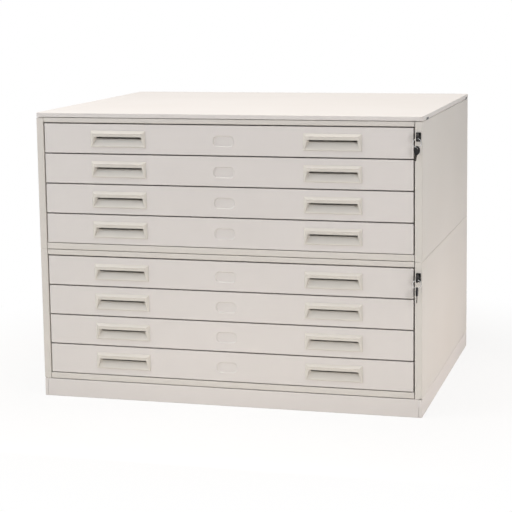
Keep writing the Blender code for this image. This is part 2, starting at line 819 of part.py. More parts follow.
def key_ring():
    """Wire ring about its own middle, its axis along Y."""
    bm = bmesh.new()
    start = Matrix.Translation((RING_RADIUS, 0, 0))
    circle = bmesh.ops.create_circle(bm, segments=WIRE_STEPS, radius=RING_WIRE_RADIUS, matrix=start)
    edges = {edge for vertex in circle["verts"] for edge in vertex.link_edges}
    bmesh.ops.spin(
        bm,
        geom=list(edges) + circle["verts"],
        cent=(0, 0, 0),
        axis=(0, 1, 0),
        angle=2 * math.pi,
        steps=RING_STEPS,
        use_merge=True,
    )
    bmesh.ops.remove_doubles(bm, verts=bm.verts, dist=RING_WIRE_RADIUS / WIRE_STEPS)
    return shape("key_ring", bm)


def lock_bar():
    """Flat bar behind the right post, unlocked: slots for its studs and the cam pin, and fingers."""
    low, high = bar_ends()
    right = BAR_LEFT + BAR_WIDTH
    bar = block((BAR_LEFT, BAR_FRONT, low), (right, BAR_BACK, high), "lock_bar")
    fingers = []
    for index in range(DRAWERS_PER_UNIT):
        level = drawer_level(index) + FINGER_LEVEL
        start = (BAR_LEFT - FINGER_REACH, BAR_FRONT, level)
        fingers.append(block(start, (BAR_LEFT + BAR_WIDTH / 2, BAR_BACK, level + FINGER_HEIGHT)))
    bar = joined(bar, *fingers)
    slots = []
    room = STUD_RADIUS + BAR_SLOT_PLAY
    for level in stud_levels():
        foot = (stud_x() - room, BAR_FRONT - OVERRUN, level - room)
        head = (stud_x() + room, BAR_BACK + OVERRUN, level + room + bar_travel())
        slots.append(block(foot, head))
    room = CAM_PIN_RADIUS + BAR_SLOT_PLAY
    level = LOCK_Z + CAM_RADIUS * math.sin(CAM_REST_ANGLE)
    foot = (LOCK_X - CAM_RADIUS - room, BAR_FRONT - OVERRUN, level - room)
    head = (LOCK_X + CAM_RADIUS * math.cos(CAM_REST_ANGLE) + room, BAR_BACK + OVERRUN, level + room)
    slots.append(block(foot, head))
    return cut(bar, *slots)


def hung_on_wire(skew):
    """How far the ring's wire lies from the middle of a key's hole that it crosses at an angle."""
    across = BOW_THICKNESS / 2 * math.tan(abs(skew))
    chord = BOW_THICKNESS / 2 / math.cos(skew)
    sag = RING_RADIUS - math.sqrt(RING_RADIUS**2 - chord**2)
    free = KEY_HOLE_RADIUS - RING_WIRE_RADIUS - SEAM
    return math.sqrt(free**2 - across**2) - sag


def add_drawers(cabinet, paint, plastic):
    """Eight drawers, numbered from the top, each on its own empty."""
    front = drawer_front()
    body = tray()
    pull = handle()
    number = len(UNIT_NAMES) * DRAWERS_PER_UNIT
    for unit in range(len(UNIT_NAMES)):
        for index in range(DRAWERS_PER_UNIT):
            level = PLINTH_HEIGHT + unit * UNIT_HEIGHT + drawer_level(index)
            name = f"drawer_{number}"
            line = axis_empty(f"{name}_slide_line", (0, 0, level), cabinet)
            place(front, f"{name}_front", paint, (0, 0, 0), line)
            place(body, f"{name}_tray", paint, (0, 0, 0), line)
            for side, word in ((-1, "left"), (1, "right")):
                at = (side * HANDLE_OFFSET, 0, handle_base())
                place(pull, f"{name}_handle_{word}", plastic, at, line)
            number -= 1
    for pattern in (front, body, pull):
        bpy.data.objects.remove(pattern)


def add_case(cabinet, paint, zinc):
    """The plinth, the fixed pieces of both units and the lid cap."""
    patterns = {
        "side_left": (flip_side(side_panel()), paint),
        "side_right": (lock_side_panel(), paint),
        "back_panel": (back_panel(), paint),
        "base_panel": (base_panel(), paint),
        "top_rail": (top_rail(), paint),
        "slide_rack_left": (flip_side(slide_rack(False)), zinc),
        "slide_rack_right": (slide_rack(True), zinc),
    }
    for unit, unit_name in enumerate(UNIT_NAMES):
        level = PLINTH_HEIGHT + unit * UNIT_HEIGHT
        for piece, (pattern, material) in patterns.items():
            place(pattern, f"{unit_name}_{piece}", material, (0, 0, level), cabinet)
    for pattern, _ in patterns.values():
        bpy.data.objects.remove(pattern)
    for pattern, level in ((plinth(), 0), (lid_cap(), CASE_TOP)):
        pattern.parent = cabinet
        pattern.location.z = level
        pattern.data.materials.append(paint)


def add_locks(cabinet, zinc, black, steel):
    """Both locks with their bars, keys, rings and spare keys."""
    housing = lock_housing()
    plug = lock_plug()
    bar = lock_bar()
    key_shape = key()
    ring = key_ring()
    for unit, unit_name in enumerate(UNIT_NAMES):
        level = PLINTH_HEIGHT + unit * UNIT_HEIGHT
        ring_turn, spare_turn, spare_lean = KEY_ATTITUDES[unit_name]
        at = (LOCK_X, 0, level + LOCK_Z)
        place(housing, f"{unit_name}_lock_housing", zinc, at, cabinet)
        bar_line = axis_empty(f"{unit_name}_lock_bar_line", (0, 0, level), cabinet)
        place(bar, f"{unit_name}_lock_bar", zinc, (0, 0, 0), bar_line)
        key_axis = axis_empty(f"{unit_name}_key_axis", at, cabinet)
        place(plug, f"{unit_name}_lock_plug", zinc, (0, 0, 0), key_axis)
        place(key_shape, f"{unit_name}_key", black, (0, 0, 0), key_axis)

        drop = hung_on_wire(ring_turn)
        ring_axis = axis_empty(f"{unit_name}_ring_axis", (0, KEY_HOLE_Y, -drop), key_axis)
        hung = place(ring, f"{unit_name}_key_ring", steel, (0, 0, -RING_RADIUS), ring_axis)
        hung.rotation_euler.z = ring_turn

        spare_axis = axis_empty(f"{unit_name}_spare_key_axis", (0, 0, -2 * RING_RADIUS), ring_axis)
        spare = place(key_shape, f"{unit_name}_spare_key", black, (0, 0, 0), spare_axis)
        upright = Matrix.Rotation(ring_turn + spare_turn, 4, "Z")
        hanging = Matrix.Rotation(-math.pi / 2 + spare_lean, 4, "X")
        to_hole = Matrix.Translation((0, -KEY_HOLE_Y, 0))
        below = Matrix.Translation((0, 0, -hung_on_wire(spare_turn)))
        spare.matrix_local = below @ upright @ hanging @ to_hole
    for pattern in (housing, plug, bar, key_shape, ring):
        bpy.data.objects.remove(pattern)


def centre_over_origin(cabinet):
    """Move the cabinet until the middle of its whole length and breadth is over the origin."""
    bpy.context.view_layer.update()
    points = []
    for piece in bpy.data.objects:
        if piece.type == "MESH":
            points += [piece.matrix_world @ vertex.co for vertex in piece.data.vertices]
    ends = [(min(values), max(values)) for values in zip(*points)]
    cabinet.location = (-sum(ends[0]) / 2, -sum(ends[1]) / 2, 0)


def main():
    for old in list(bpy.data.objects):
        bpy.data.objects.remove(old)
    cabinet = axis_empty("cabinet", (0, 0, 0))
    paint = finish("powder_coated_steel", (0.62, 0.61, 0.59), 0.45)
    plastic = finish("moulded_handle_plastic", (0.70, 0.68, 0.62), 0.4)
    zinc = finish("zinc_plated_steel", (0.55, 0.56, 0.57), 0.35, 1.0)
    black = finish("black_key_plastic", (0.02, 0.02, 0.02), 0.4)
    steel = finish("spring_steel_wire", (0.5, 0.5, 0.5), 0.3, 1.0)
    add_drawers(cabinet, paint, plastic)
    add_case(cabinet, paint, zinc)
    add_locks(cabinet, zinc, black, steel)
    centre_over_origin(cabinet)


main()
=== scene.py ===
# %% [markdown]
# # A flat file cabinet, built in cells
# A flat file, or plan chest, keeps large sheets flat in shallow steel drawers. This one is two
# units of four drawers on a plinth, under a lid cap. Its engineering model is loaded first, as a
# frame that nothing here moves. Each cell below then makes one visible part of the cabinet, in
# the place that the frame gives, and says how the real part is made.

import json
import math

import bmesh
import bpy
from mathutils import Matrix, Vector


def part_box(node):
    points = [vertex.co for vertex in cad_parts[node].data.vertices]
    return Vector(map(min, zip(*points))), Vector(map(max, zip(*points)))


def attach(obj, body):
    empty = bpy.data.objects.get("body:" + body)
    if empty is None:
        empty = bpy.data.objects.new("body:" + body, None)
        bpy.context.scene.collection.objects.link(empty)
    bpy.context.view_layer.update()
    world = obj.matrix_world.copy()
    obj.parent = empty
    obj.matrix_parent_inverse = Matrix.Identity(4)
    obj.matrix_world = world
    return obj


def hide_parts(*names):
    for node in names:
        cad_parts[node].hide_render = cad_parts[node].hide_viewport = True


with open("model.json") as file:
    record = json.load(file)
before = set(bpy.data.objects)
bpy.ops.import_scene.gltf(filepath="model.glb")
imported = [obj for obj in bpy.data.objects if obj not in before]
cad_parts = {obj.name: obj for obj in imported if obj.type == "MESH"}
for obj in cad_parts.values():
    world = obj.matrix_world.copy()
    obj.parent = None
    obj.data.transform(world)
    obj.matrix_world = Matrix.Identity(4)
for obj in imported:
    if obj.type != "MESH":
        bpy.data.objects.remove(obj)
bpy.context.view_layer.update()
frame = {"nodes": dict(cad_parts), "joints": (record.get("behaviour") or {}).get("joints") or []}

# %% [markdown]
# ## Sizes
# The case is folded from sheet 1.2 mm thick. These are the sizes that the cells share, in metres.
# Places are read from the frame wherever it can give them, so that a new piece lands on its node.
# A hair is the clearance that keeps two parts from sharing a face. It is also how wide an edge is
# broken, where the edge isn't crisp.

# %% Shared sizes
FRONT_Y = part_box("drawer_1_front")[0].y
HALF_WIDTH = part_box("plinth")[1].x
BACK_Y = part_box("plinth")[1].y
UNIT_FEET = {unit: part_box(f"{unit}_side_right")[0].z for unit in ("lower", "upper")}
SIDES = ((-1, "left"), (1, "right"))
DRAWERS = range(1, 9)
SHEET = 0.0012
BEND = 0.0016
HAIR = 0.0003
CRISP = 0.0002
SHARP = math.radians(50)
PAINT = "powder_coated_steel"
ZINC = "zinc_plated_steel"
BLACK = "black_key_plastic"
print("front plane", round(FRONT_Y, 4), "unit feet", UNIT_FEET)

# %% [markdown]
# ## Camera
# The photograph looks at the right front corner from a little above, with a long lens. A camera
# was fitted to the edges of the case. Its three directions make the rotation directly: Blender's
# camera looks along its own -Z, with +X to the right and +Y up. The lens shift moves the cabinet
# to where it stands in the frame. The focal length and the centre are in pixels of the picture.

# %% Place the camera
RIGHT = Vector((0.9664209, 0.25670063, -0.01163701))
UPWARD = Vector((-0.02446101, 0.13698227, 0.99027144))
AHEAD = Vector((-0.25579737, 0.95673436, -0.13866169))
EYE = (1.763922 - HALF_WIDTH, -3.946211 + FRONT_Y, 1.158967)
SENSOR = 36
PICTURE = 512
FOCAL = 1516.789
CENTRE = (280, 200)
lens = bpy.data.cameras.new("camera")
lens.sensor_width = SENSOR
lens.lens = SENSOR * FOCAL / PICTURE
lens.shift_x = (PICTURE / 2 - CENTRE[0]) / PICTURE
lens.shift_y = (CENTRE[1] - PICTURE / 2) / PICTURE
camera = bpy.data.objects.new("camera", lens)
turned = Matrix((RIGHT, UPWARD, -AHEAD)).transposed().to_4x4()
camera.matrix_world = Matrix.Translation(EYE) @ turned
bpy.context.scene.collection.objects.link(camera)
bpy.context.scene.camera = camera
print("lens", round(lens.lens, 1), "mm at", [round(value, 2) for value in camera.location])

# %% [markdown]
# ## Finishes
# Colours are written as sRGB hex, as a paint card gives them, and one function turns them into
# the linear values that the shader wants. One more function adds a node with its settings and
# its inputs, and every finish is wired with it.

# %% Colour and node helpers
def linear(code):
    """sRGB hex to a linear colour."""
    values = []
    for place in (0, 2, 4):
        value = int(code[place:place + 2], 16) / 255
        values.append(value / 12.92 if value <= 0.04045 else ((value + 0.055) / 1.055) ** 2.4)
    return values + [1.0]


def add_node(tree, kind, inputs=None, **settings):
    """Add a node. An input is a value, or another node's output to link."""
    node = tree.nodes.new(kind)
    for name, value in settings.items():
        setattr(node, name, value)
    for name, value in (inputs or {}).items():
        if isinstance(value, bpy.types.NodeSocket):
            tree.links.new(value, node.inputs[name])
        else:
            node.inputs[name].default_value = value
    return node


def new_finish(name, metallic, ior=None):
    """An empty finish: its node tree, its Principled shader and its object coordinates."""
    made = bpy.data.materials.new(name)
    made.use_nodes = True
    tree = made.node_tree
    shader = tree.nodes["Principled BSDF"]
    shader.inputs["Metallic"].default_value = metallic
    if ior:
        shader.inputs["IOR"].default_value = ior
    place = add_node(tree, "ShaderNodeTexCoord").outputs["Object"]
    return made, tree, shader, place


print("warm grey", [round(value, 3) for value in linear("E0DCD6")])

# %% [markdown]
# ## Powder coat
# The case is sprayed with dry polyester powder and baked. The film flows into a fine orange peel
# about 2 mm across, satin rather than glossy, and its colour drifts a little over a large sheet.
# Rolled sheet is also never quite flat: a slow bump about 0.3 m across makes the soft light
# wander over the panels. Two noises do this: the slow one drives the waves, the gloss and the
# drift of the colour, and the fine one the peel. The case is drawn in one tone of the coat, and
# the drawer fronts, the lid and the plinth in another, a little lighter and less yellow.

# %% Powder-coated steel
DRIFT = 0.30
PEEL = 0.0022
WAVE_HEIGHT = 0.004
PEEL_HEIGHT = 0.0003
COAT_GLOSS = 0.05


def powder_coat(name, light, dark, roughness):
    made, tree, shader, place = new_finish(name, 0.0, 1.5)
    drift = add_node(tree, "ShaderNodeTexNoise", {"Vector": place, "Scale": 1 / DRIFT, "Detail": 2.0})
    slow = drift.outputs["Fac"]
    tint = add_node(tree, "ShaderNodeMix", {"Factor": slow}, data_type="RGBA")
    tint.inputs["A"].default_value = linear(light)
    tint.inputs["B"].default_value = linear(dark)
    tree.links.new(tint.outputs["Result"], shader.inputs["Base Color"])
    peel = add_node(tree, "ShaderNodeTexNoise", {"Vector": place, "Scale": 1 / PEEL, "Detail": 1.0})
    gloss = add_node(
        tree,
        "ShaderNodeMapRange",
        {"Value": slow, "To Min": roughness - COAT_GLOSS, "To Max": roughness + COAT_GLOSS},
    )
    tree.links.new(gloss.outputs["Result"], shader.inputs["Roughness"])
    wave = add_node(
        tree, "ShaderNodeBump", {"Height": slow, "Strength": 0.25, "Distance": WAVE_HEIGHT}
    ).outputs["Normal"]
    fine = peel.outputs["Fac"]
    skin = add_node(
        tree,
        "ShaderNodeBump",
        {"Height": fine, "Normal": wave, "Strength": 0.12, "Distance": PEEL_HEIGHT},
    )
    tree.links.new(skin.outputs["Normal"], shader.inputs["Normal"])
    return made


case_paint = powder_coat("powder_coated_steel", "DDD9D3", "D9D5CE", 0.42)
front_paint = powder_coat("powder_coated_steel_fronts", "E2DEDB", "DEDAD6", 0.40)
print("painted finishes", case_paint.name, front_paint.name)

# %% [markdown]
# ## Moulded pulls
# The pulls are injection-moulded ABS in a creamier grey. The mould is spark-eroded, which leaves
# a fine even grain and a satin sheen. The real grain is under 0.2 mm, too fine to show, so it is
# drawn 0.9 mm wide and very shallow. The key bows and the lock plates are a black ABS with a
# finer grain, whose sheen is turned down until the black stays deep. The same black fills the
# notches of the lid as painted shade, standing for their dark hollows.

# %% Moulded ABS
CLOUD = 0.04
GRAIN_DEPTH = 0.0001


def moulded(name, colour, roughness, grain):
    made, tree, shader, place = new_finish(name, 0.0, 1.53)
    cloud = add_node(tree, "ShaderNodeTexNoise", {"Vector": place, "Scale": 1 / CLOUD, "Detail": 2.0})
    tint = add_node(tree, "ShaderNodeHueSaturation", {"Color": linear(colour)})
    value = add_node(
        tree, "ShaderNodeMapRange", {"Value": cloud.outputs["Fac"], "To Min": 0.97, "To Max": 1.03}
    )
    tree.links.new(value.outputs["Result"], tint.inputs["Value"])
    tree.links.new(tint.outputs["Color"], shader.inputs["Base Color"])
    shader.inputs["Roughness"].default_value = roughness
    spark = add_node(tree, "ShaderNodeTexVoronoi", {"Vector": place, "Scale": 1 / grain})
    skin = add_node(
        tree,
        "ShaderNodeBump",
        {"Height": spark.outputs["Distance"], "Strength": 0.2, "Distance": GRAIN_DEPTH},
    )
    tree.links.new(skin.outputs["Normal"], shader.inputs["Normal"])
    return made


pull_plastic = moulded("moulded_abs_cream", "DCD8D0", 0.58, 0.0009)
black_abs_and_notch_shade = moulded("moulded_abs_black_and_notch_shade", "101012", 0.42, 0.0007)
black_abs_and_notch_shade.node_tree.nodes["Principled BSDF"].inputs["Specular IOR Level"].default_value = 0.25
print("moulded finishes", pull_plastic.name, black_abs_and_notch_shade.name)

# %% [markdown]
# ## Bright metals
# Slides and uprights are zinc plated: a bluish silver whose crystals catch the light in soft
# patches, over rolling lines that run the length of the strip. The lock's cylinder is nickel
# plated, warmer and smoother. The rings are bright drawn spring wire. The key blades and the plug
# are steel drawn dark grey: painted shade and painted dark reflection, which keep them dark
# beside the black plastic. All are one metal recipe with its own colours and its own stretch of
# the noise.

# %% Plated metals
ROLLED = 0.006
ROLLED_HEIGHT = 0.0002
METAL_GLOSS = 0.08


def plated(name, light, dark, roughness, stretch):
    made, tree, shader, place = new_finish(name, 1.0)
    lines = add_node(tree, "ShaderNodeMapping", {"Vector": place, "Scale": stretch})
    rolled = add_node(
        tree,
        "ShaderNodeTexNoise",
        {"Vector": lines.outputs["Vector"], "Scale": 1 / ROLLED, "Detail": 4.0},
    ).outputs["Fac"]
    tint = add_node(tree, "ShaderNodeMix", {"Factor": rolled}, data_type="RGBA")
    tint.inputs["A"].default_value = linear(light)
    tint.inputs["B"].default_value = linear(dark)
    tree.links.new(tint.outputs["Result"], shader.inputs["Base Color"])
    gloss = add_node(
        tree,
        "ShaderNodeMapRange",
        {"Value": rolled, "To Min": roughness - METAL_GLOSS, "To Max": roughness + METAL_GLOSS},
    )
    tree.links.new(gloss.outputs["Result"], shader.inputs["Roughness"])
    skin = add_node(
        tree, "ShaderNodeBump", {"Height": rolled, "Strength": 0.1, "Distance": ROLLED_HEIGHT}
    )
    tree.links.new(skin.outputs["Normal"], shader.inputs["Normal"])
    return made


zinc = plated("zinc_plated_steel", "D3D6D8", "B9BEC2", 0.34, (4.0, 0.15, 4.0))
nickel = plated("nickel_plated_brass", "DAD5CB", "C9C3B8", 0.24, (2.0, 2.0, 2.0))
# The dark grey of this steel is painted shade and painted dark reflection.
steel_painted_dark = plated("steel_painted_dark_grey", "55524F", "3F3D3B", 0.30, (2.0, 2.0, 2.0))
wire = plated("bright_spring_steel", "CFCFCF", "B4B4B4", 0.22, (3.0, 3.0, 3.0))
print("plated finishes", [finish.name for finish in (zinc, nickel, steel_painted_dark, wire)])

# %% [markdown]
# ## Making a piece
# Every piece rides on a body of the frame, so that it slides or turns with it. Its place is put
# into its mesh, and its object stays at the origin. Folded sheet gets a live Solidify for its
# thickness; then a narrow Bevel breaks the sharp edges, and Weighted Normal keeps the flat
# faces flat while the bends shade round.

# %% Piece helper
def mesh_of(name, bm):
    mesh = bpy.data.meshes.new(name)
    bm.to_mesh(mesh)
    bm.free()
    return mesh


def link_new(name, data):
    """A new object in the scene."""
    made = bpy.data.objects.new(name, data)
    bpy.context.scene.collection.objects.link(made)
    return made


def dress(name, mesh, finish, body, stands_for=(), sheet=0.0, broken=HAIR):
    """Give a mesh its object, finish, live modifiers and body."""
    mesh.shade_smooth()
    mesh.materials.clear()
    mesh.materials.append(finish)
    piece = link_new(name, mesh)
    if sheet:
        wall = piece.modifiers.new("sheet", "SOLIDIFY")
        wall.thickness = sheet
        wall.offset = 0
        wall.use_even_offset = True
    if broken:
        edge = piece.modifiers.new("broken_edges", "BEVEL")
        edge.width = broken
        edge.segments = 2
        edge.limit_method = "ANGLE"
        edge.angle_limit = SHARP
        edge.use_clamp_overlap = True
    even = piece.modifiers.new("flat_faces", "WEIGHTED_NORMAL")
    even.keep_sharp = True
    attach(piece, body)
    if stands_for:
        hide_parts(*stands_for)
    return piece


def make_piece(name, bm, finish, body, stands_for=(), sheet=0.0, broken=HAIR):
    return dress(name, mesh_of(name, bm), finish, body, stands_for, sheet, broken)


print("piece helpers ready")

# %% [markdown]
# ## Blocks and cutters
# Solid parts start as blocks, whose edges are rounded while they are still few. A Boolean joins
# two forms, or takes a bore or a hollow out of one. Its result is baked into one mesh, because
# the cutters are no parts of the cabinet.

# %% Block helpers
def baked(bm, cutters=(), joins=()):
    """A mesh with the joins added and the cutters taken out, once and for all."""
    base = link_new("base", mesh_of("base", bm))
    others = [(link_new("join", mesh_of("join", other)), "UNION") for other in joins]
    others += [(link_new("cutter", mesh_of("cutter", other)), "DIFFERENCE") for other in cutters]
    for other, operation in others:
        step = base.modifiers.new("step", "BOOLEAN")
        step.operation = operation
        step.object = other
    graph = bpy.context.evaluated_depsgraph_get()
    mesh = bpy.data.meshes.new_from_object(base.evaluated_get(graph))
    for made in [base] + [other for other, _ in others]:
        bpy.data.objects.remove(made)
    return mesh


def box_form(low, high):
    """A box between two corners, from the cube operator."""
    low, high = Vector(low), Vector(high)
    bm = bmesh.new()
    place = Matrix.Translation((low + high) / 2) @ Matrix.Diagonal((*(high - low), 1))
    bmesh.ops.create_cube(bm, size=1, matrix=place)
    return bm


def round_edges(bm, edges, radius, segments=5):
    bmesh.ops.bevel(
        bm,
        geom=edges,
        offset=radius,
        segments=segments,
        profile=0.5,
        affect="EDGES",
        material=-1,
        clamp_overlap=True,
    )


print("block helpers ready")

# %% [markdown]
# ## Folded sheet
# Most of the cabinet is sheet folded on a press brake. The fold is made the same way here: the
# middle line of the section is drawn as a few edges, pulled out along its length, and each fold
# line is bevelled to the bend radius. Solidify then gives the sheet its thickness.

# %% Folding helpers
def pull_out(bm, edges, way):
    """Grow a face from each edge along a vector."""
    grown = bmesh.ops.extrude_edge_only(bm, edges=edges)["geom"]
    moved = [item for item in grown if isinstance(item, bmesh.types.BMVert)]
    bmesh.ops.translate(bm, verts=moved, vec=way)


def fold_lines(bm):
    return [edge for edge in bm.edges if len(edge.link_faces) == 2]


def drop_faces(bm, chosen):
    """Delete each face for which chosen, given the face and its middle, is true."""
    faces = [face for face in bm.faces if chosen(face, face.calc_center_median())]
    bmesh.ops.delete(bm, geom=faces, context="FACES")


def cut_where(bm, point, normal):
    """Cut every face that a plane crosses, and keep both parts."""
    geom = bm.verts[:] + bm.edges[:] + bm.faces[:]
    bmesh.ops.bisect_plane(bm, geom=geom, plane_co=point, plane_no=normal)


def handed(bm, sign):
    """Mirror a right-hand form for the left side, and turn its faces outwards."""
    if sign < 0:
        bmesh.ops.scale(bm, vec=(-1, 1, 1), verts=bm.verts)
    bmesh.ops.recalc_face_normals(bm, faces=bm.faces)
    return bm


def folded(path, axis, start, end, bend=BEND, segments=5):
    """A strip folded along the path, in the two axes that aren't its length's."""
    def point(along, u, v):
        return {"X": (along, u, v), "Y": (u, along, v), "Z": (u, v, along)}[axis]

    bm = bmesh.new()
    line = [bm.verts.new(point(start, u, v)) for u, v in path]
    edges = [bm.edges.new(pair) for pair in zip(line, line[1:])]
    pull_out(bm, edges, point(end - start, 0, 0))
    round_edges(bm, fold_lines(bm), bend, segments)
    bmesh.ops.recalc_face_normals(bm, faces=bm.faces)
    return bm


def pan(low, high, open_side, bend, segments=5):
    """A box with one side left open and its other edges bent round."""
    bm = box_form(low, high)
    axis, sign = open_side
    drop_faces(bm, lambda face, middle: face.normal[axis] * sign > 0.9)
    round_edges(bm, fold_lines(bm), bend, segments)
    return bm


print("folding ready")

# %% [markdown]
# ## Side sheets and posts
# Each side is one sheet, folded like a shallow pan: its front edge is turned in 20 mm to make
# the post, and turned again to stiffen it. The folds at the top and the foot leave a fine groove
# where the units meet. At the foot of each lower post, where three folds meet, a relief notch is
# cut.

# %% Make the four side sheets
POST = HALF_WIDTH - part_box("upper_top_rail")[1].x - HAIR
RETURN = 0.020
LID_LINE = 0.0012
RELIEF = (0.0085, 0.004, 0.0026)


def side_sheet(sign, unit):
    half = SHEET / 2
    foot = UNIT_FEET[unit]
    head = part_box(f"{unit}_side_right")[1].z - (LID_LINE if unit == "upper" else 0)
    low = (HALF_WIDTH - POST + half, FRONT_Y + half, foot + half)
    high = (HALF_WIDTH - half, BACK_Y - half, head - half)
    bm = box_form(low, high)
    drop_faces(bm, lambda face, middle: face.normal.x < -0.9)
    free = []
    for edge in bm.edges:
        if all(vert.co.x < low[0] + half and vert.co.y < low[1] + half for vert in edge.verts):
            free.append(edge)
    pull_out(bm, free, (0, RETURN, 0))
    round_edges(bm, fold_lines(bm), BEND)
    if unit == "lower":
        side, front, top = HALF_WIDTH - RELIEF[0], FRONT_Y + RELIEF[1], foot + RELIEF[2]
        cut_where(bm, (side, 0, 0), (1, 0, 0))
        cut_where(bm, (0, front, 0), (0, 1, 0))
        cut_where(bm, (0, 0, top), (0, 0, 1))
        drop_faces(bm, lambda face, middle: middle.x > side and middle.y < front and middle.z < top)
    return handed(bm, sign)


for unit in UNIT_FEET:
    for sign, word in SIDES:
        node = f"{unit}_side_{word}"
        make_piece(f"{node}_sheet", side_sheet(sign, unit), case_paint, "cabinet", (node,), SHEET)
print("side sheets 4")

# %% [markdown]
# ## Rails, floors and backs
# Between the posts each unit has a rail above its drawers and one below. The lower rail is the
# front fold of the unit's floor, which runs under the uprights to the back. The back sheet is a
# shallow channel set inside the side returns. All three are strips folded along the width.
# The rails stop 1 mm short of the posts, and are trimmed a little so that the gaps round the
# drawers read as dark as they do on the real case.

# %% Make the rails, floors and backs
BUTT = 0.0010
RAIL_FLANGE = 0.016
RAIL_TRIM = 0.0017
FLOOR_TRIM = 0.0007


def unit_floor(unit):
    low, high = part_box(f"{unit}_base_panel")
    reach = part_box(f"{unit}_top_rail")[1].x - BUTT
    half = SHEET / 2
    head = high.z - half - (FLOOR_TRIM if unit == "lower" else 0)
    path = (
        (high.y - half, low.z + half),
        (low.y + half, low.z + half),
        (low.y + half, head),
        (low.y + RAIL_FLANGE, head),
    )
    bm = folded(path, "X", -reach, reach)
    behind = FRONT_Y + RETURN + HAIR
    cut_where(bm, (0, behind, 0), (0, 1, 0))
    for sign in (-1, 1):
        ends = []
        for edge in bm.edges:
            if all(sign * vert.co.x > reach - HAIR and vert.co.y > behind - HAIR for vert in edge.verts):
                if all(vert.co.z < low.z + 2 * SHEET for vert in edge.verts):
                    ends.append(edge)
        pull_out(bm, ends, (sign * (high.x - reach), 0, 0))
    bmesh.ops.recalc_face_normals(bm, faces=bm.faces)
    return bm


def rail(unit):
    low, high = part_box(f"{unit}_top_rail")
    foot = low.z + SHEET / 2 + RAIL_TRIM
    head = high.z - SHEET / 2 - (LID_LINE if unit == "upper" else 0)
    face = low.y + SHEET / 2
    path = ((low.y + RAIL_FLANGE, foot), (face, foot), (face, head), (high.y, head))
    return folded(path, "X", low.x + BUTT, high.x - BUTT)


def back_sheet(unit):
    low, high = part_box(f"{unit}_back_panel")
    half = SHEET / 2
    path = (
        (low.y, low.z + half),
        (high.y - half, low.z + half),
        (high.y - half, high.z - half),
        (low.y, high.z - half),
    )
    return folded(path, "X", low.x, high.x)


STRIPS = (
    ("floor", unit_floor, "base_panel"),
    ("rail", rail, "top_rail"),
    ("back", back_sheet, "back_panel"),
)
for unit in UNIT_FEET:
    for label, form, node in STRIPS:
        stands_for = (f"{unit}_{node}",)
        make_piece(f"{unit}_{label}", form(unit), case_paint, "cabinet", stands_for, SHEET)
print("rails, floors and backs 6")

# %% [markdown]
# ## Lid cap
# The lid is a shallow pan of thicker sheet, upside down, that overhangs the case a little. Its
# upright corners are pressed round, its top edge is a softer fold, and flanges turned in at the
# lower edge stiffen it. A folding strip can't turn a round corner, so the pan is made as a
# solid: a rounded block, with the hollow and the mouth between the flanges taken out. Two
# notches are cut into the lower edge of each side. A black block fills each notch and reaches a
# little below it: painted shade, standing for the dark hollow behind the notch.

# %% Make the lid
LID_SHEET = 0.0015
LID_CORNER = 0.009
LID_FLANGE = 0.022
LID_FOLD = 0.0016
LID_FOOT_FOLD = 0.0006
NOTCH = Vector((0.026, 0.036, 0.0046))
NOTCHES = (0.073, 0.817)
SHADE_BLOCK_DROP = 0.0018
OVERRUN = 0.01


def rounded_block(low, high, corner):
    """A box with its four upright edges rounded."""
    bm = box_form(low, high)
    upright = [edge for edge in bm.edges if abs(edge.verts[0].co.z - edge.verts[1].co.z) > HAIR]
    round_edges(bm, upright, corner, 8)
    return bm


def level_loop(bm, level):
    return [edge for edge in bm.edges if all(abs(vert.co.z - level) < HAIR / 3 for vert in edge.verts)]


def lid():
    low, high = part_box("lid_cap")
    wall = Vector((LID_SHEET,) * 3)
    pan_form = rounded_block(low, high, LID_CORNER)
    round_edges(pan_form, level_loop(pan_form, high.z), LID_FOLD, 6)
    round_edges(pan_form, level_loop(pan_form, low.z), LID_FOOT_FOLD, 3)
    hollow = rounded_block(low + wall, high - wall, LID_CORNER - LID_SHEET)
    rim = Vector((LID_SHEET + LID_FLANGE, LID_SHEET + LID_FLANGE, 0))
    below = Vector((0, 0, OVERRUN))
    mouth = box_form(low + rim - below, high - rim - wall - wall)
    cutters = [hollow, mouth]
    for side in (low.x, high.x):
        for place in NOTCHES:
            middle = Vector((side, FRONT_Y + place, low.z))
            reach = Vector((NOTCH.x, NOTCH.y / 2, NOTCH.z))
            cutters.append(box_form(middle - reach, middle + reach))
    return baked(pan_form, cutters)


dress("lid_pan", lid(), front_paint, "cabinet", ("lid_cap",), 0, CRISP)


def notch_shade_block(side, place):
    """A black block that fills a notch and reaches below it: painted shade for its dark hollow."""
    low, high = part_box("lid_cap")
    near, far = sorted((side * (HALF_WIDTH + HAIR), side * (high.x - HAIR / 3)))
    middle = FRONT_Y + place
    reach = NOTCH.y / 2 - HAIR
    bm = box_form(
        (near, middle - reach, low.z - SHADE_BLOCK_DROP), (far, middle + reach, low.z + NOTCH.z - HAIR)
    )
    round_edges(bm, bm.edges[:], HAIR, 3)
    return bm


# Painted shade: a black block in each notch stands for its dark hollow.
for side, word in SIDES:
    for number, place in enumerate(NOTCHES, 1):
        shade_block = notch_shade_block(side, place)
        make_piece(f"notch_shade_block_{word}_{number}", shade_block, black_abs_and_notch_shade, "cabinet", (), 0, 0)

# %% [markdown]
# ## Plinth
# The plinth is a welded frame of channel. The side channels wrap 9 mm round each corner, where
# the front and back channels butt against them: that is the fine upright seam near each end of
# the front. Each side is a pan with its front and back cut off past the wrap.

# %% Make the plinth
PLINTH_SHEET = 0.0018
PLINTH_FLANGE = 0.026
WRAP = 0.0092
PLINTH_SEAM = 0.0008


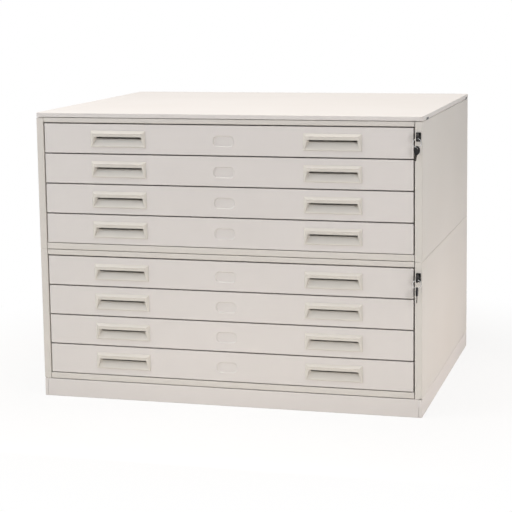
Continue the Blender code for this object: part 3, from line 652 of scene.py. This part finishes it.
def plinth_side(sign):
    half = PLINTH_SHEET / 2
    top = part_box("plinth")[1].z
    inner = HALF_WIDTH - PLINTH_FLANGE
    low = (inner, FRONT_Y + half, half)
    high = (HALF_WIDTH - half, BACK_Y - half, top - half)
    bm = pan(low, high, (0, -1), BEND)
    cut_where(bm, (HALF_WIDTH - WRAP, 0, 0), (1, 0, 0))
    drop_faces(bm, lambda face, middle: middle.x < HALF_WIDTH - WRAP and abs(face.normal.z) < 0.99)
    return handed(bm, sign)


def plinth_end(sign):
    half = PLINTH_SHEET / 2
    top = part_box("plinth")[1].z
    face_y = FRONT_Y + half if sign < 0 else BACK_Y - half
    rim = face_y - sign * PLINTH_FLANGE
    path = ((rim, half), (face_y, half), (face_y, top - half), (rim, top - half))
    reach = HALF_WIDTH - WRAP - PLINTH_SEAM
    bm = folded(path, "X", -reach, reach)
    short = HALF_WIDTH - PLINTH_FLANGE - HAIR
    for side in (-1, 1):
        cut_where(bm, (side * short, 0, 0), (1, 0, 0))
    web = BEND + HAIR / 3
    drop_faces(bm, lambda face, middle: abs(middle.x) > short and abs(middle.y - face_y) > web)
    return bm


CHANNELS = (
    ("left", plinth_side(-1), ()),
    ("right", plinth_side(1), ("plinth",)),
    ("front", plinth_end(-1), ()),
    ("back", plinth_end(1), ()),
)
for word, form, stands_for in CHANNELS:
    make_piece(f"plinth_channel_{word}", form, front_paint, "cabinet", stands_for, PLINTH_SHEET)
print("plinth channels", len(CHANNELS))

# %% [markdown]
# ## Drawer fronts
# A drawer front is a pan of sheet with its edges folded back 18 mm, two openings for the pulls,
# and a label field that a press pushes in by 3.2 mm with a sloping wall. The face is filled
# between the pan's rim and the outlines of the openings and the field, so nothing has to be
# cut away. The field is one face with its corners bevelled, inset once for the slope. All four
# edges are set back a little, as the rails are, so that the gaps round a drawer read as dark.

# %% Make one drawer front
FRONT_DEPTH = 0.018
LABEL = Vector((0.0562, 0.0268))
LABEL_DROP = 0.002
LABEL_SLOPE = 0.0020
LABEL_DEPTH = 0.0032
LABEL_CORNER = 0.0125
LABEL_EDGE = 0.0005
FRONT_BEND = 0.0008
LEVEL_TRIM = 0.0006
SIDE_TRIM = 0.0021
front_low, front_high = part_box("drawer_8_front")
FRONT_SIZE = front_high - front_low
PULL_WIDTH = 0.162
PULL_HEIGHT = 0.047
PULL_OFFSET = 0.306
PULL_BASE = (FRONT_SIZE.z - PULL_HEIGHT) / 2
OPENING = (0.1524, 0.0352)
OPENING_LEVEL = PULL_BASE + 0.0188


def outline(bm, width, height, x, z, y, corner=0.0):
    """One upright face of the given size, its corners rounded."""
    upright = Matrix.Rotation(math.pi / 2, 4, "X") @ Matrix.Diagonal((width, height, 1, 1))
    place = Matrix.Translation((x, y, z)) @ upright
    made = bmesh.ops.create_grid(bm, x_segments=1, y_segments=1, size=0.5, matrix=place)
    face = made["verts"][0].link_faces[0]
    if corner:
        bmesh.ops.bevel(
            bm, geom=made["verts"], offset=corner, segments=8, profile=0.5, affect="VERTICES", material=-1
        )
        face = [item for item in bm.faces if len(item.verts) > 12][-1]
    return face


def drawer_front():
    half = SHEET / 2
    edge = half + LEVEL_TRIM
    reach = FRONT_SIZE.x / 2 - SIDE_TRIM
    level = FRONT_SIZE.z / 2 - LABEL_DROP
    low = (-reach + edge, half, edge)
    high = (reach - edge, FRONT_DEPTH, FRONT_SIZE.z - edge)
    bm = pan(low, high, (1, 1), FRONT_BEND, 4)
    plate = max(bm.faces, key=lambda face: face.calc_area() if face.normal.y < -0.9 else 0)
    rims = list(plate.edges)
    bmesh.ops.delete(bm, geom=[plate], context="FACES_ONLY")
    for side in (-1, 1):
        hole = outline(bm, *OPENING, side * PULL_OFFSET, OPENING_LEVEL, half)
        rims += list(hole.edges)
        bmesh.ops.delete(bm, geom=[hole], context="FACES_ONLY")
    wide, tall = LABEL.x + 2 * LABEL_SLOPE, LABEL.y + 2 * LABEL_SLOPE
    field = outline(bm, wide, tall, 0, level, half, LABEL_CORNER)
    rims += list(field.edges)
    bmesh.ops.triangle_fill(bm, use_beauty=True, use_dissolve=False, normal=(0, -1, 0), edges=rims)
    edge_loop = list(field.edges)
    if field.normal.y > 0:
        field.normal_flip()
    bmesh.ops.inset_individual(
        bm, faces=[field], thickness=LABEL_SLOPE, depth=-LABEL_DEPTH, use_even_offset=True
    )
    edge_loop += list(field.edges)
    round_edges(bm, edge_loop, LABEL_EDGE, 2)
    bmesh.ops.recalc_face_normals(bm, faces=bm.faces)
    return bm


front_mesh = mesh_of("drawer_front", drawer_front())
print("drawer front faces", len(front_mesh.polygons))

# %% [markdown]
# ## Pulls
# The pull is one moulding: a hood with bevelled cheeks outside the front, a lip that hides a
# slot, and a finger cup behind whose walls taper so that it leaves the mould. The hood is the
# convex hull of eight corners, and the lip below it that of ten. They and the cup are joined,
# and two tapered spaces are taken out: the mouth, whose slope leads the fingers up to the slot,
# and the room for the fingertips behind the lip, which lies in the dark.

# %% Make one pull
EAVE = Vector((-0.0075, PULL_HEIGHT - 0.0082))
EAVE_SINK = 0.0020
HOOD_EDGE = 0.0006
LIP_Y = EAVE.x + 0.0012
LIP_FOOT = 0.0298
LIP_SINK = 0.0012
LIP_LEAN = 0.0006
LIP_INSET = 0.0014
LIP_RISE = 0.0008
LIP_EDGE = 0.0005
CUP = 0.0158
CUP_WALL = 0.0018
RIM = Vector((-0.0028, 0.0038))
SLOT_EDGE = Vector((0.0065, 0.0252))
CHEEK = 0.0092
CUP_SIDE = 0.0050
NARROWING = (0.0075, 0.0060)
SHELL_LEDGE = 0.0170
ROOM_LEDGE = 0.0200
ROOF = LIP_FOOT + 0.0050
OVERCUT = 0.002


def cup_reach(depth, height, wall):
    """Half the cup's width, which narrows with height and with depth."""
    rise = NARROWING[0] * (height - RIM.y) / (LIP_FOOT - RIM.y)
    run = NARROWING[1] * (depth - RIM.x) / (CUP - RIM.x)
    return PULL_WIDTH / 2 - CUP_SIDE - (rise + run) + wall


def hull(points):
    bm = bmesh.new()
    made = [bm.verts.new(point) for point in points]
    bmesh.ops.convex_hull(bm, input=made)
    bmesh.ops.dissolve_limit(bm, angle_limit=math.radians(1), verts=bm.verts, edges=bm.edges)
    bmesh.ops.recalc_face_normals(bm, faces=bm.faces)
    return bm


def tapered(section, wall):
    """The hull of a section in y and z, as wide at each point as the cup is there."""
    points = []
    for y, z in section:
        points += [(side * cup_reach(y, z, wall), y, z) for side in (-1, 1)]
    return hull(points)


def pull():
    half = PULL_WIDTH / 2
    seat = -HAIR
    lip_cheek = CHEEK * (LIP_Y - seat) / (EAVE.x - seat)
    hood_points = []
    lip_points = []
    for side in (-1, 1):
        hood_points += [
            (side * half, seat, LIP_FOOT),
            (side * half, seat, PULL_HEIGHT),
            (side * (half - CHEEK), EAVE.x, EAVE.y),
            (side * (half - lip_cheek), LIP_Y, EAVE.y - EAVE_SINK),
        ]
        lip_points += [
            (side * half, seat, 0),
            (side * half, seat, EAVE.y),
            (side * (half - lip_cheek), LIP_Y, EAVE.y - LIP_SINK),
            (side * (half - lip_cheek), LIP_Y + LIP_LEAN, LIP_FOOT),
            (side * (half - LIP_INSET), RIM.x, LIP_RISE),
        ]
    hood = hull(hood_points)
    round_edges(hood, hood.edges[:], HOOD_EDGE, 3)
    lip = hull(lip_points)
    round_edges(lip, lip.edges[:], LIP_EDGE, 3)

    sunk = seat + RIM.x / 2
    foot = RIM.y - CUP_WALL
    deep = CUP + CUP_WALL
    top = ROOF + CUP_WALL
    shell = ((sunk, foot), (SLOT_EDGE.x, foot), (deep, SHELL_LEDGE), (deep, top), (sunk, top))
    out = EAVE.x - OVERCUT
    mouth = ((out, RIM.y), RIM, SLOT_EDGE, (SLOT_EDGE.x, LIP_FOOT), (out, LIP_FOOT))
    behind = LIP_Y + CUP_WALL
    start = (behind, LIP_FOOT - OVERCUT)
    room = (start, SLOT_EDGE, (CUP, ROOM_LEDGE), (CUP, ROOF), (behind, ROOF))
    return baked(hood, [tapered(mouth, 0), tapered(room, 0)], [lip, tapered(shell, CUP_WALL)])


pull_mesh = pull()
print("pull faces", len(pull_mesh.polygons))

# %% [markdown]
# ## Trays
# Behind the front is the tray: a sheet folded up at its sides, with rims turned in so that no
# edge can crease a drawing, a plate behind the front, a back wall, and a hood that keeps the
# sheets flat at the back. The body is one strip folded along the depth; the back wall and the
# hood are strips folded along the width.

# %% Make one tray
TRAY_START = FRONT_DEPTH + HAIR
TRAY_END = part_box("drawer_8_tray")[1].y - FRONT_Y
TRAY_SIDE = 0.5161
TRAY_FOOT = 0.006
TRAY_BEND = 0.0012
RIM_LEVEL = 0.070
RIM_WIDTH = 0.008
RIM_DROP = 0.006
RIM_LIP = 0.0015
BACK_FOOT = 0.012
HOOD_DEPTH = 0.12
HOOD_LEAD = ((0.001, 0.009), (0.006, 0.002), (0.014, 0.0))
HOOD_STOP = 0.0008
HOOD_BEND = 0.003


def tray_body():
    half = SHEET / 2
    side = TRAY_SIDE - half
    floor = TRAY_FOOT + half
    rim = RIM_LEVEL - half
    left = [
        (-side + RIM_LIP, rim - RIM_DROP),
        (-side + RIM_WIDTH, rim - RIM_DROP),
        (-side + RIM_WIDTH, rim),
        (-side, rim),
        (-side, floor),
    ]
    path = left + [(-x, z) for x, z in reversed(left)]
    return folded(path, "Y", TRAY_START + half, TRAY_END, TRAY_BEND, 4)


def inner_plate():
    half = SHEET / 2
    reach = FRONT_SIZE.x / 2 - SIDE_TRIM - HAIR
    start = TRAY_START + half
    return box_form((-reach, start - half, HAIR), (reach, start + half, FRONT_SIZE.z - HAIR))


def back_wall():
    side = TRAY_SIDE - SHEET
    back = TRAY_END - SHEET / 2
    foot = TRAY_FOOT + 1.5 * SHEET
    path = ((back - BACK_FOOT, foot), (back, foot), (back, RIM_LEVEL - 1.6 * SHEET))
    return folded(path, "X", -side, side, TRAY_BEND, 4)


def rear_hood():
    side = TRAY_SIDE - SHEET / 2
    level = RIM_LEVEL - SHEET / 2
    path = [(TRAY_END - HOOD_DEPTH + back, level - drop) for back, drop in HOOD_LEAD]
    path.append((TRAY_END - HOOD_STOP, level))
    return folded(path, "X", -side, side, HOOD_BEND, 5)


print("tray from", round(TRAY_START, 4), "to", round(TRAY_END, 4), "behind the front")

# %% [markdown]
# ## Runners
# A hat-section runner of zinc-plated steel is welded to each side of the tray. It runs inside
# the outer slide's channel with a little play, so its section is worked out from the channel's.
# The catch on the right side is the tab that the lock bar's finger stops.

# %% Make the runners and the catch
SLIDE_LEVEL = 0.030
SLIDE_OUTER = 0.5292
SLIDE_HALF = 0.0225
SLIDE_LIP = 0.004
SLIDE_PLAY = 0.0004
RUNNER_ROOM = 0.0019
RUNNER_BEND = 0.0008
CATCH = ((0.0266, 0.057), (0.0286, 0.067))
CATCH_REACH = 0.0102


def runner(sign):
    thin = SHEET / 2
    root = TRAY_SIDE + thin
    tip = SLIDE_OUTER - SHEET - 2 * SLIDE_PLAY - thin
    brim = SLIDE_HALF - SHEET - SLIDE_PLAY
    leg = SLIDE_HALF - SHEET - SLIDE_LIP - RUNNER_ROOM
    upper = [(sign * tip, brim), (sign * tip, leg), (sign * root, leg)]
    section = upper + [(x, -z) for x, z in reversed(upper)]
    path = [(x, SLIDE_LEVEL + z) for x, z in section]
    return folded(path, "Y", TRAY_START + SHEET, TRAY_END - SHEET, RUNNER_BEND, 3)


def catch():
    return box_form((TRAY_SIDE - SHEET / 2, *CATCH[0]), (TRAY_SIDE + CATCH_REACH, *CATCH[1]))


TRAY_FORMS = (
    ("tray_body", tray_body(), case_paint, PAINT, SHEET),
    ("tray_plate", inner_plate(), case_paint, PAINT, 0),
    ("tray_back", back_wall(), case_paint, PAINT, SHEET),
    ("tray_hood", rear_hood(), case_paint, PAINT, SHEET),
    ("runner_left", runner(-1), zinc, ZINC, SHEET),
    ("runner_right", runner(1), zinc, ZINC, SHEET),
    ("tray_catch", catch(), zinc, ZINC, 0),
)
TRAY_PARTS = [(label, mesh_of(label, form), *rest) for label, form, *rest in TRAY_FORMS]
print("tray parts", len(TRAY_PARTS))

# %% [markdown]
# ## Eight drawers
# The eight drawers are alike, so each mesh is made once and a copy is moved to every level. The
# copies ride on the drawers' bodies, and slide with them.

# %% Put the drawers in
def set_in(name, mesh, place, finish, body, stands_for=(), sheet=0.0, broken=HAIR):
    """Dress a copy of the mesh that a matrix has put in its place."""
    copy = mesh.copy()
    copy.transform(place)
    return dress(name, copy, finish, body, stands_for, sheet, broken)


for number in DRAWERS:
    body = f"drawer_{number}"
    at = Vector((0, FRONT_Y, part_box(f"{body}_front")[0].z))
    here = Matrix.Translation(at)
    node = f"{body}_front"
    set_in(f"{body}_face", front_mesh, here, front_paint, body, (node,), SHEET, CRISP)
    for sign, word in SIDES:
        seat = Matrix.Translation(at + Vector((sign * PULL_OFFSET, 0, PULL_BASE)))
        node = f"{body}_handle_{word}"
        set_in(f"{body}_pull_{word}", pull_mesh, seat, pull_plastic, body, (node,))
    for label, mesh, finish, slot, sheet in TRAY_PARTS:
        stands_for = (f"{body}_tray",) if label == "tray_body" else ()
        set_in(f"{body}_{label}", mesh, here, finish, body, stands_for, sheet)
print("drawers", len(DRAWERS))

# %% [markdown]
# ## Locks
# Each unit has a cam lock in its right post: a nickel-plated cylinder, a black moulded face plate
# that covers its hole, and a plug that turns with the key. The cylinder is one profile spun about
# its axis. The plate is a small block with its corners and its front rim rounded, and the bore is
# cut through it.

# %% Make the cylinder and the face plate
def spun_round(bm, geom, steps):
    """Spin the geometry once round the Y axis and close it."""
    bmesh.ops.spin(
        bm, geom=geom, cent=(0, 0, 0), axis=(0, 1, 0), angle=2 * math.pi, steps=steps, use_merge=True
    )
    bmesh.ops.remove_doubles(bm, verts=bm.verts, dist=1e-6)
    bmesh.ops.recalc_face_normals(bm, faces=bm.faces)
    return bm


def spun(profile):
    """A solid from a profile of (y, radius)."""
    bm = bmesh.new()
    line = [bm.verts.new((0, y, radius)) for y, radius in profile]
    edges = [bm.edges.new(pair) for pair in zip(line, line[1:])]
    return spun_round(bm, line + edges, 48)


def disc(radius, depth, place, steps=48):
    """A round block whose axis is the matrix's Z."""
    bm = bmesh.new()
    bmesh.ops.create_cone(
        bm, cap_ends=True, segments=steps, radius1=radius, radius2=radius, depth=depth, matrix=place
    )
    return bm


def rod(radius, start, end, x=0, z=0):
    """A disc along Y from start to end."""
    place = Matrix.Translation((x, (start + end) / 2, z)) @ Matrix.Rotation(math.pi / 2, 4, "X")
    return disc(radius, end - start, place)


BORE = 0.0048
CYLINDER = 0.0058
CHAMFER = 0.0005
FACE_SIZE = Vector((0.0134, 0.0240))
FACE_CORNER = 0.0020
FACE_RIM = 0.0006
FACE_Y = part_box("lower_lock_housing")[0].y - FRONT_Y
CYLINDER_START = -0.0002
CYLINDER_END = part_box("lower_lock_housing")[1].y - FRONT_Y


def housing():
    start, end = CYLINDER_START, CYLINDER_END
    front = [(end, BORE), (start, BORE), (start, CYLINDER)]
    rear = [(end - CHAMFER, CYLINDER), (end, CYLINDER - CHAMFER), (end, BORE)]
    return spun(front + rear)


def face_plate():
    """The black plate round the plug, its corners and its front rim rounded."""
    across, tall = FACE_SIZE / 2
    bm = box_form((-across, FACE_Y, -tall), (across, -HAIR, tall))
    deep = [edge for edge in bm.edges if abs(edge.verts[0].co.y - edge.verts[1].co.y) > HAIR]
    round_edges(bm, deep, FACE_CORNER, 6)
    rim = [edge for edge in bm.edges if all(vert.co.y < FACE_Y + HAIR / 3 for vert in edge.verts)]
    round_edges(bm, rim, FACE_RIM, 3)
    return bm


bore = rod(BORE, (FACE_Y - OVERRUN) / 2, (FACE_Y + OVERRUN) / 2)
housing_mesh = mesh_of("lock_housing", housing())
plate_mesh = baked(face_plate(), [bore])
print("lock face", [round(value * 1000, 1) for value in FACE_SIZE], "mm")

# %% [markdown]
# ## Plug
# The plug is the round core that the key turns. A keyway is broached into its face, and its tail
# carries the cam with the pin that lifts the lock bar. The core is spun, three discs joined to
# it make the cam and its pin, and a block cuts the keyway.

# %% Make the plug
PLUG_FACE, PLUG_END = -0.0019, 0.0179
PLUG_RADIUS = 0.0045
CAM_START, CAM_END = 0.0168, 0.0190
CAM_HUB, CAM_NOSE, CAM_PIN = 0.0052, 0.0022, 0.0015
CAM_REACH = 0.0060 * math.sqrt(0.5)
PIN_END = 0.0238
KEYWAY = (0.0012, 0.0151, 0.0037)
PAST_TIP = 0.001


def plug():
    face = [(PLUG_FACE, 0), (PLUG_FACE, PLUG_RADIUS - CHAMFER), (PLUG_FACE + CHAMFER, PLUG_RADIUS)]
    core = spun(face + [(PLUG_END, PLUG_RADIUS), (PLUG_END, 0)])
    joins = [
        rod(CAM_HUB, CAM_START, CAM_END),
        rod(CAM_NOSE, CAM_START, CAM_END, -CAM_REACH, CAM_REACH),
        rod(CAM_PIN, PLUG_END, PIN_END, -CAM_REACH, CAM_REACH),
    ]
    across, end, tall = KEYWAY
    keyway = box_form((-across, PLUG_FACE - PAST_TIP, -tall), (across, end, tall))
    return baked(core, [keyway], joins)


plug_mesh = plug()
print("plug faces", len(plug_mesh.polygons))

# %% [markdown]
# ## Keys
# A key is two materials: a flat steel blade with cuts in both edges, drawn dark grey as painted
# shade, and a black moulded bow round its head, with a hole for the ring. The bow is the hull of
# a disc and its neck, rounded at every edge. The blade is a block, and small wedges take the cuts
# out of it.

# %% Make the two parts of a key
KEY_GAP = 0.0035
BOW_RADIUS = 0.01135
BOW_LENGTH = 0.0240
BOW_HALF = 0.0025
BOW_NECK = 0.0045
BOW_EDGE = 0.0010
HOLE_RADIUS = 0.0040
HOLE_Y = -KEY_GAP - BOW_LENGTH + 0.0058
BLADE_HALF = 0.0010
BLADE_EDGE = 0.0035
BLADE_TIP = 0.0145
BLADE_POINT = 0.0022
CUTS = 4
CUT_START = 0.0025
CUT_PITCH = 0.00325
CUT_HALF = 0.0009
CUT_OUTER, CUT_INNER = 0.0036, 0.0026
GROOVE_HALF = 0.0006
GROOVE_FLOOR = 0.0007


def key_bow():
    along_x = Matrix.Rotation(math.pi / 2, 4, "Y")
    middle = Matrix.Translation((0, -KEY_GAP - BOW_LENGTH + BOW_RADIUS, 0))
    head = disc(BOW_RADIUS, 2 * BOW_HALF, middle @ along_x, 64)
    points = [vert.co.copy() for vert in head.verts]
    head.free()
    for side in (-1, 1):
        points += [Vector((side * BOW_HALF, -KEY_GAP, up * BOW_NECK)) for up in (-1, 1)]
    bow = hull(points)
    rim = [edge for edge in bow.edges if edge.calc_face_angle(0) > SHARP]
    round_edges(bow, rim, BOW_EDGE, 4)
    hole = disc(HOLE_RADIUS, 4 * BOW_HALF, Matrix.Translation((0, HOLE_Y, 0)) @ along_x, 32)
    return baked(bow, [hole])


def key_blade():
    root = -KEY_GAP - BOW_NECK
    blade = box_form((-BLADE_HALF, root, -BLADE_EDGE), (BLADE_HALF, BLADE_TIP, BLADE_EDGE))
    point = [edge for edge in blade.edges if all(vert.co.y > BLADE_TIP - HAIR for vert in edge.verts)]
    point = [edge for edge in point if abs(edge.verts[0].co.x - edge.verts[1].co.x) > BLADE_HALF]
    round_edges(blade, point, BLADE_POINT, 1)
    cutters = []
    wide = 2 * BLADE_HALF
    for index in range(CUTS):
        middle = BLADE_TIP - CUT_START - (index + 0.5) * CUT_PITCH
        for side in (-1, 1):
            corners = []
            for x in (-wide, wide):
                corners += [(x, middle + way * CUT_HALF, side * CUT_OUTER) for way in (-1, 1)]
                corners.append((x, middle, side * CUT_INNER))
            cutters.append(hull(corners))
    for side in (-1, 1):
        near, far = sorted((side * GROOVE_FLOOR, side * wide))
        end = BLADE_TIP + PAST_TIP
        cutters.append(box_form((near, root, -GROOVE_HALF), (far, end, GROOVE_HALF)))
    return baked(blade, cutters)


bow_mesh = key_bow()
blade_mesh = key_blade()
print("key faces", len(bow_mesh.polygons), "and", len(blade_mesh.polygons))

# %% [markdown]
# ## Put the locks, keys and rings in
# One key stands in each lock, and its spare hangs from it on a ring of spring wire. The joints of
# the frame give the point where each ring and each spare key hangs. Rings and spares never hang
# quite straight: each ring is turned a little, its spare is turned on it, and the spare leans.
# They hang just beside the drawers' path, so that every drawer can open.

# %% Place the locks
RING_RADIUS = 0.0115
WIRE_RADIUS = 0.0007
HANGS = {"lower": (16, -14, -8), "upper": (20, 28, 14)}
FINE = 0.0001
LOCK_AT = {}
for unit in UNIT_FEET:
    low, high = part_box(f"{unit}_lock_housing")
    LOCK_AT[unit] = Vector(((low.x + high.x) / 2, FRONT_Y, (low.z + high.z) / 2))
pivots = {joint["name"]: Vector(joint["pos_m"]) for joint in frame["joints"] if "pos_m" in joint}


def sunk_on_wire(skew):
    """How far the hole's middle hangs below the wire that crosses it at an angle."""
    across = BOW_HALF * math.tan(abs(skew))
    chord = BOW_HALF / math.cos(skew)
    room = HOLE_RADIUS - WIRE_RADIUS - HAIR
    sag = RING_RADIUS - math.sqrt(RING_RADIUS**2 - chord**2)
    return math.sqrt(room**2 - across**2) - sag


def ring():
    bm = bmesh.new()
    start = Matrix.Translation((RING_RADIUS, 0, 0))
    circle = bmesh.ops.create_circle(bm, segments=12, radius=WIRE_RADIUS, matrix=start)["verts"]
    loop = list({edge for vert in circle for edge in vert.link_edges})
    return spun_round(bm, loop + circle, 64)


ring_mesh = mesh_of("ring", ring())
for unit, at in LOCK_AT.items():
    turn, spare_turn, lean = (math.radians(angle) for angle in HANGS[unit])
    stand = Matrix.Translation(at)
    hung = Matrix.Translation(pivots[f"{unit}_ring_swing"] - Vector((0, 0, RING_RADIUS)))
    hung = hung @ Matrix.Rotation(turn, 4, "Z")
    below = pivots[f"{unit}_spare_swing"] - Vector((0, 0, sunk_on_wire(spare_turn)))
    spare = Matrix.Translation(below) @ Matrix.Rotation(turn + spare_turn, 4, "Z")
    spare = spare @ Matrix.Rotation(-math.pi / 2 + lean, 4, "X") @ Matrix.Translation((0, -HOLE_Y, 0))
    barrel, hanging = f"{unit}_key_barrel", f"{unit}_spare"
    # The plug and the key blades wear the dark steel, whose dark grey is painted shade.
    parts = (
        ("cylinder", housing_mesh, stand, nickel, "cabinet", ZINC, "lock_housing", FINE),
        ("lock_face", plate_mesh, stand, black_abs_and_notch_shade, "cabinet", BLACK, "", FINE),
        ("plug", plug_mesh, stand, steel_painted_dark, barrel, ZINC, "lock_plug", FINE),
        ("key_bow", bow_mesh, stand, black_abs_and_notch_shade, barrel, BLACK, "key", HAIR),
        ("key_blade", blade_mesh, stand, steel_painted_dark, barrel, BLACK, "", FINE),
        ("ring", ring_mesh, hung, wire, f"{unit}_ring", "spring_steel_wire", "key_ring", 0),
        ("spare_bow", bow_mesh, spare, black_abs_and_notch_shade, hanging, BLACK, "spare_key", HAIR),
        ("spare_blade", blade_mesh, spare, steel_painted_dark, hanging, BLACK, "", FINE),
    )
    for label, mesh, place, finish, body, slot, node, broken in parts:
        stands_for = (f"{unit}_{node}",) if node else ()
        set_in(f"{unit}_{label}", mesh, place, finish, body, stands_for, 0, broken)
print("locks at", {unit: [round(value, 4) for value in at] for unit, at in LOCK_AT.items()})

# %% [markdown]
# ## Slides and lock bars
# The slide racks and the lock bars keep their engineering meshes, which have the right form, and
# get the zinc finish.

# %% Finish the carried-over pieces
carried = [name for name in frame["nodes"] if "slide_rack" in name or "lock_bar" in name]
for name in carried:
    materials = frame["nodes"][name].data.materials
    materials.clear()
    materials.append(zinc)
print("carried over", carried)

# %% [markdown]
# ## Floor and light
# The floor and the backdrop are white to the camera and to reflections, while to the light they
# are a plain pale floor. Near the cabinet a share of the floor's own shading is kept, so that the
# contact shadow stays; further out it fades to white, as a paper sweep does.

# %% Floor
NEAR, FAR = 0.75, 1.4
GLOW_SHARE = 0.86


def white_to_camera(tree):
    """1 for camera, glossy and transmission rays, else 0."""
    path = add_node(tree, "ShaderNodeLightPath")
    seen = path.outputs["Is Camera Ray"]
    for ray in ("Is Glossy Ray", "Is Transmission Ray"):
        either = add_node(tree, "ShaderNodeMath", {0: seen, 1: path.outputs[ray]}, operation="MAXIMUM")
        seen = either.outputs["Value"]
    return seen


def pale_floor():
    made, tree, _, place = new_finish("pale_floor", 0.0)
    plain = add_node(tree, "ShaderNodeBsdfDiffuse", {"Color": linear("F3F0EB")})
    glow = add_node(tree, "ShaderNodeEmission", {"Strength": 1.0})
    away = add_node(tree, "ShaderNodeVectorMath", {0: place}, operation="LENGTH").outputs["Value"]
    share = add_node(
        tree,
        "ShaderNodeMapRange",
        {"Value": away, "From Min": NEAR, "From Max": FAR, "To Min": GLOW_SHARE, "To Max": 1.0},
        interpolation_type="SMOOTHSTEP",
    ).outputs["Result"]
    seen = add_node(tree, "ShaderNodeMath", {0: white_to_camera(tree), 1: share}, operation="MULTIPLY")
    mix = add_node(tree, "ShaderNodeMixShader", {0: seen.outputs["Value"]})
    tree.links.new(plain.outputs["BSDF"], mix.inputs[1])
    tree.links.new(glow.outputs["Emission"], mix.inputs[2])
    tree.links.new(mix.outputs["Shader"], tree.nodes["Material Output"].inputs["Surface"])
    return made


floor_bm = bmesh.new()
bmesh.ops.create_grid(floor_bm, x_segments=1, y_segments=1, size=14)
floor = link_new("floor", mesh_of("floor", floor_bm))
floor.data.materials.append(pale_floor())
print("floor", floor.data.materials[0].name)

# %% [markdown]
# ## World and lamps
# The pale world fills every shadow a little, and the bright floor lights the cabinet from below.
# Two lamps stand high on the left, the stronger one further round, and a faint one stands in
# front. A small lamp near the right front gives the keys their shadow. A wide one hangs overhead
# for the lid. Two low warm strips, by the side and by the front, stand for the light that a
# studio floor throws back.

# %% World and lamps
FILL = 0.18
world = bpy.data.worlds.new("pale_room")
world.use_nodes = True
sky = world.node_tree
fill = add_node(sky, "ShaderNodeBackground", {"Color": linear("FFFFFF"), "Strength": FILL})
white = add_node(sky, "ShaderNodeBackground", {"Color": linear("FFFFFF"), "Strength": 1.0})
both = add_node(sky, "ShaderNodeMixShader", {0: white_to_camera(sky)})
sky.links.new(fill.outputs["Background"], both.inputs[1])
sky.links.new(white.outputs["Background"], both.inputs[2])
sky.links.new(both.outputs["Shader"], sky.nodes["World Output"].inputs["Surface"])
bpy.context.scene.world = world


MIDDLE = Vector((0, FRONT_Y, 0.43))


def around(azimuth, elevation, distance):
    """A place seen from the cabinet's front at the given angles in degrees."""
    turn, rise = math.radians(azimuth), math.radians(elevation)
    out = Vector((math.sin(turn) * math.cos(rise), -math.cos(turn) * math.cos(rise), math.sin(rise)))
    return MIDDLE + distance * out


LAMPS = (
    ("left_light", around(-40, 40, 3.6), MIDDLE, (1.5, 1.5), 19, "F5F8FF"),
    ("far_light", around(-68, 32, 3.6), MIDDLE, (1.5, 1.5), 32, "FAFCFF"),
    ("front_light", around(-4, 40, 3.6), MIDDLE, (1.8, 1.8), 7, "F0F4FF"),
    ("right_light", (2.03, -1.96, 1.22), (0.45, FRONT_Y, 0.70), (0.16, 0.16), 12.5, "FFFCFF"),
    ("top_light", (0.1, -0.35, 4.2), (0.1, -0.3, 0), (2.8, 2.8), 99, "FFF6EC"),
    ("side_foot_light", (1.15, 0.05, 0.05), (0.55, 0.05, 0.05), (1.2, 0.08), 1.45, "FFEDE4"),
    ("front_foot_light", (0.05, -0.95, 0.05), (0.05, FRONT_Y, 0.03), (1.5, 0.08), 0.4, "FFF6EA"),
)
for name, at, target, (wide, tall), power, colour in LAMPS:
    light = bpy.data.lights.new(name, "AREA")
    light.shape = "ELLIPSE"
    light.size, light.size_y = wide, tall
    light.energy = power
    light.color = linear(colour)[:3]
    aim = (Vector(target) - Vector(at)).to_track_quat("-Z", "Y")
    link_new(name, light).matrix_world = Matrix.Translation(at) @ aim.to_matrix().to_4x4()
bpy.context.scene.view_settings.view_transform = "Standard"
print("lamps", [name for name, *_ in LAMPS])
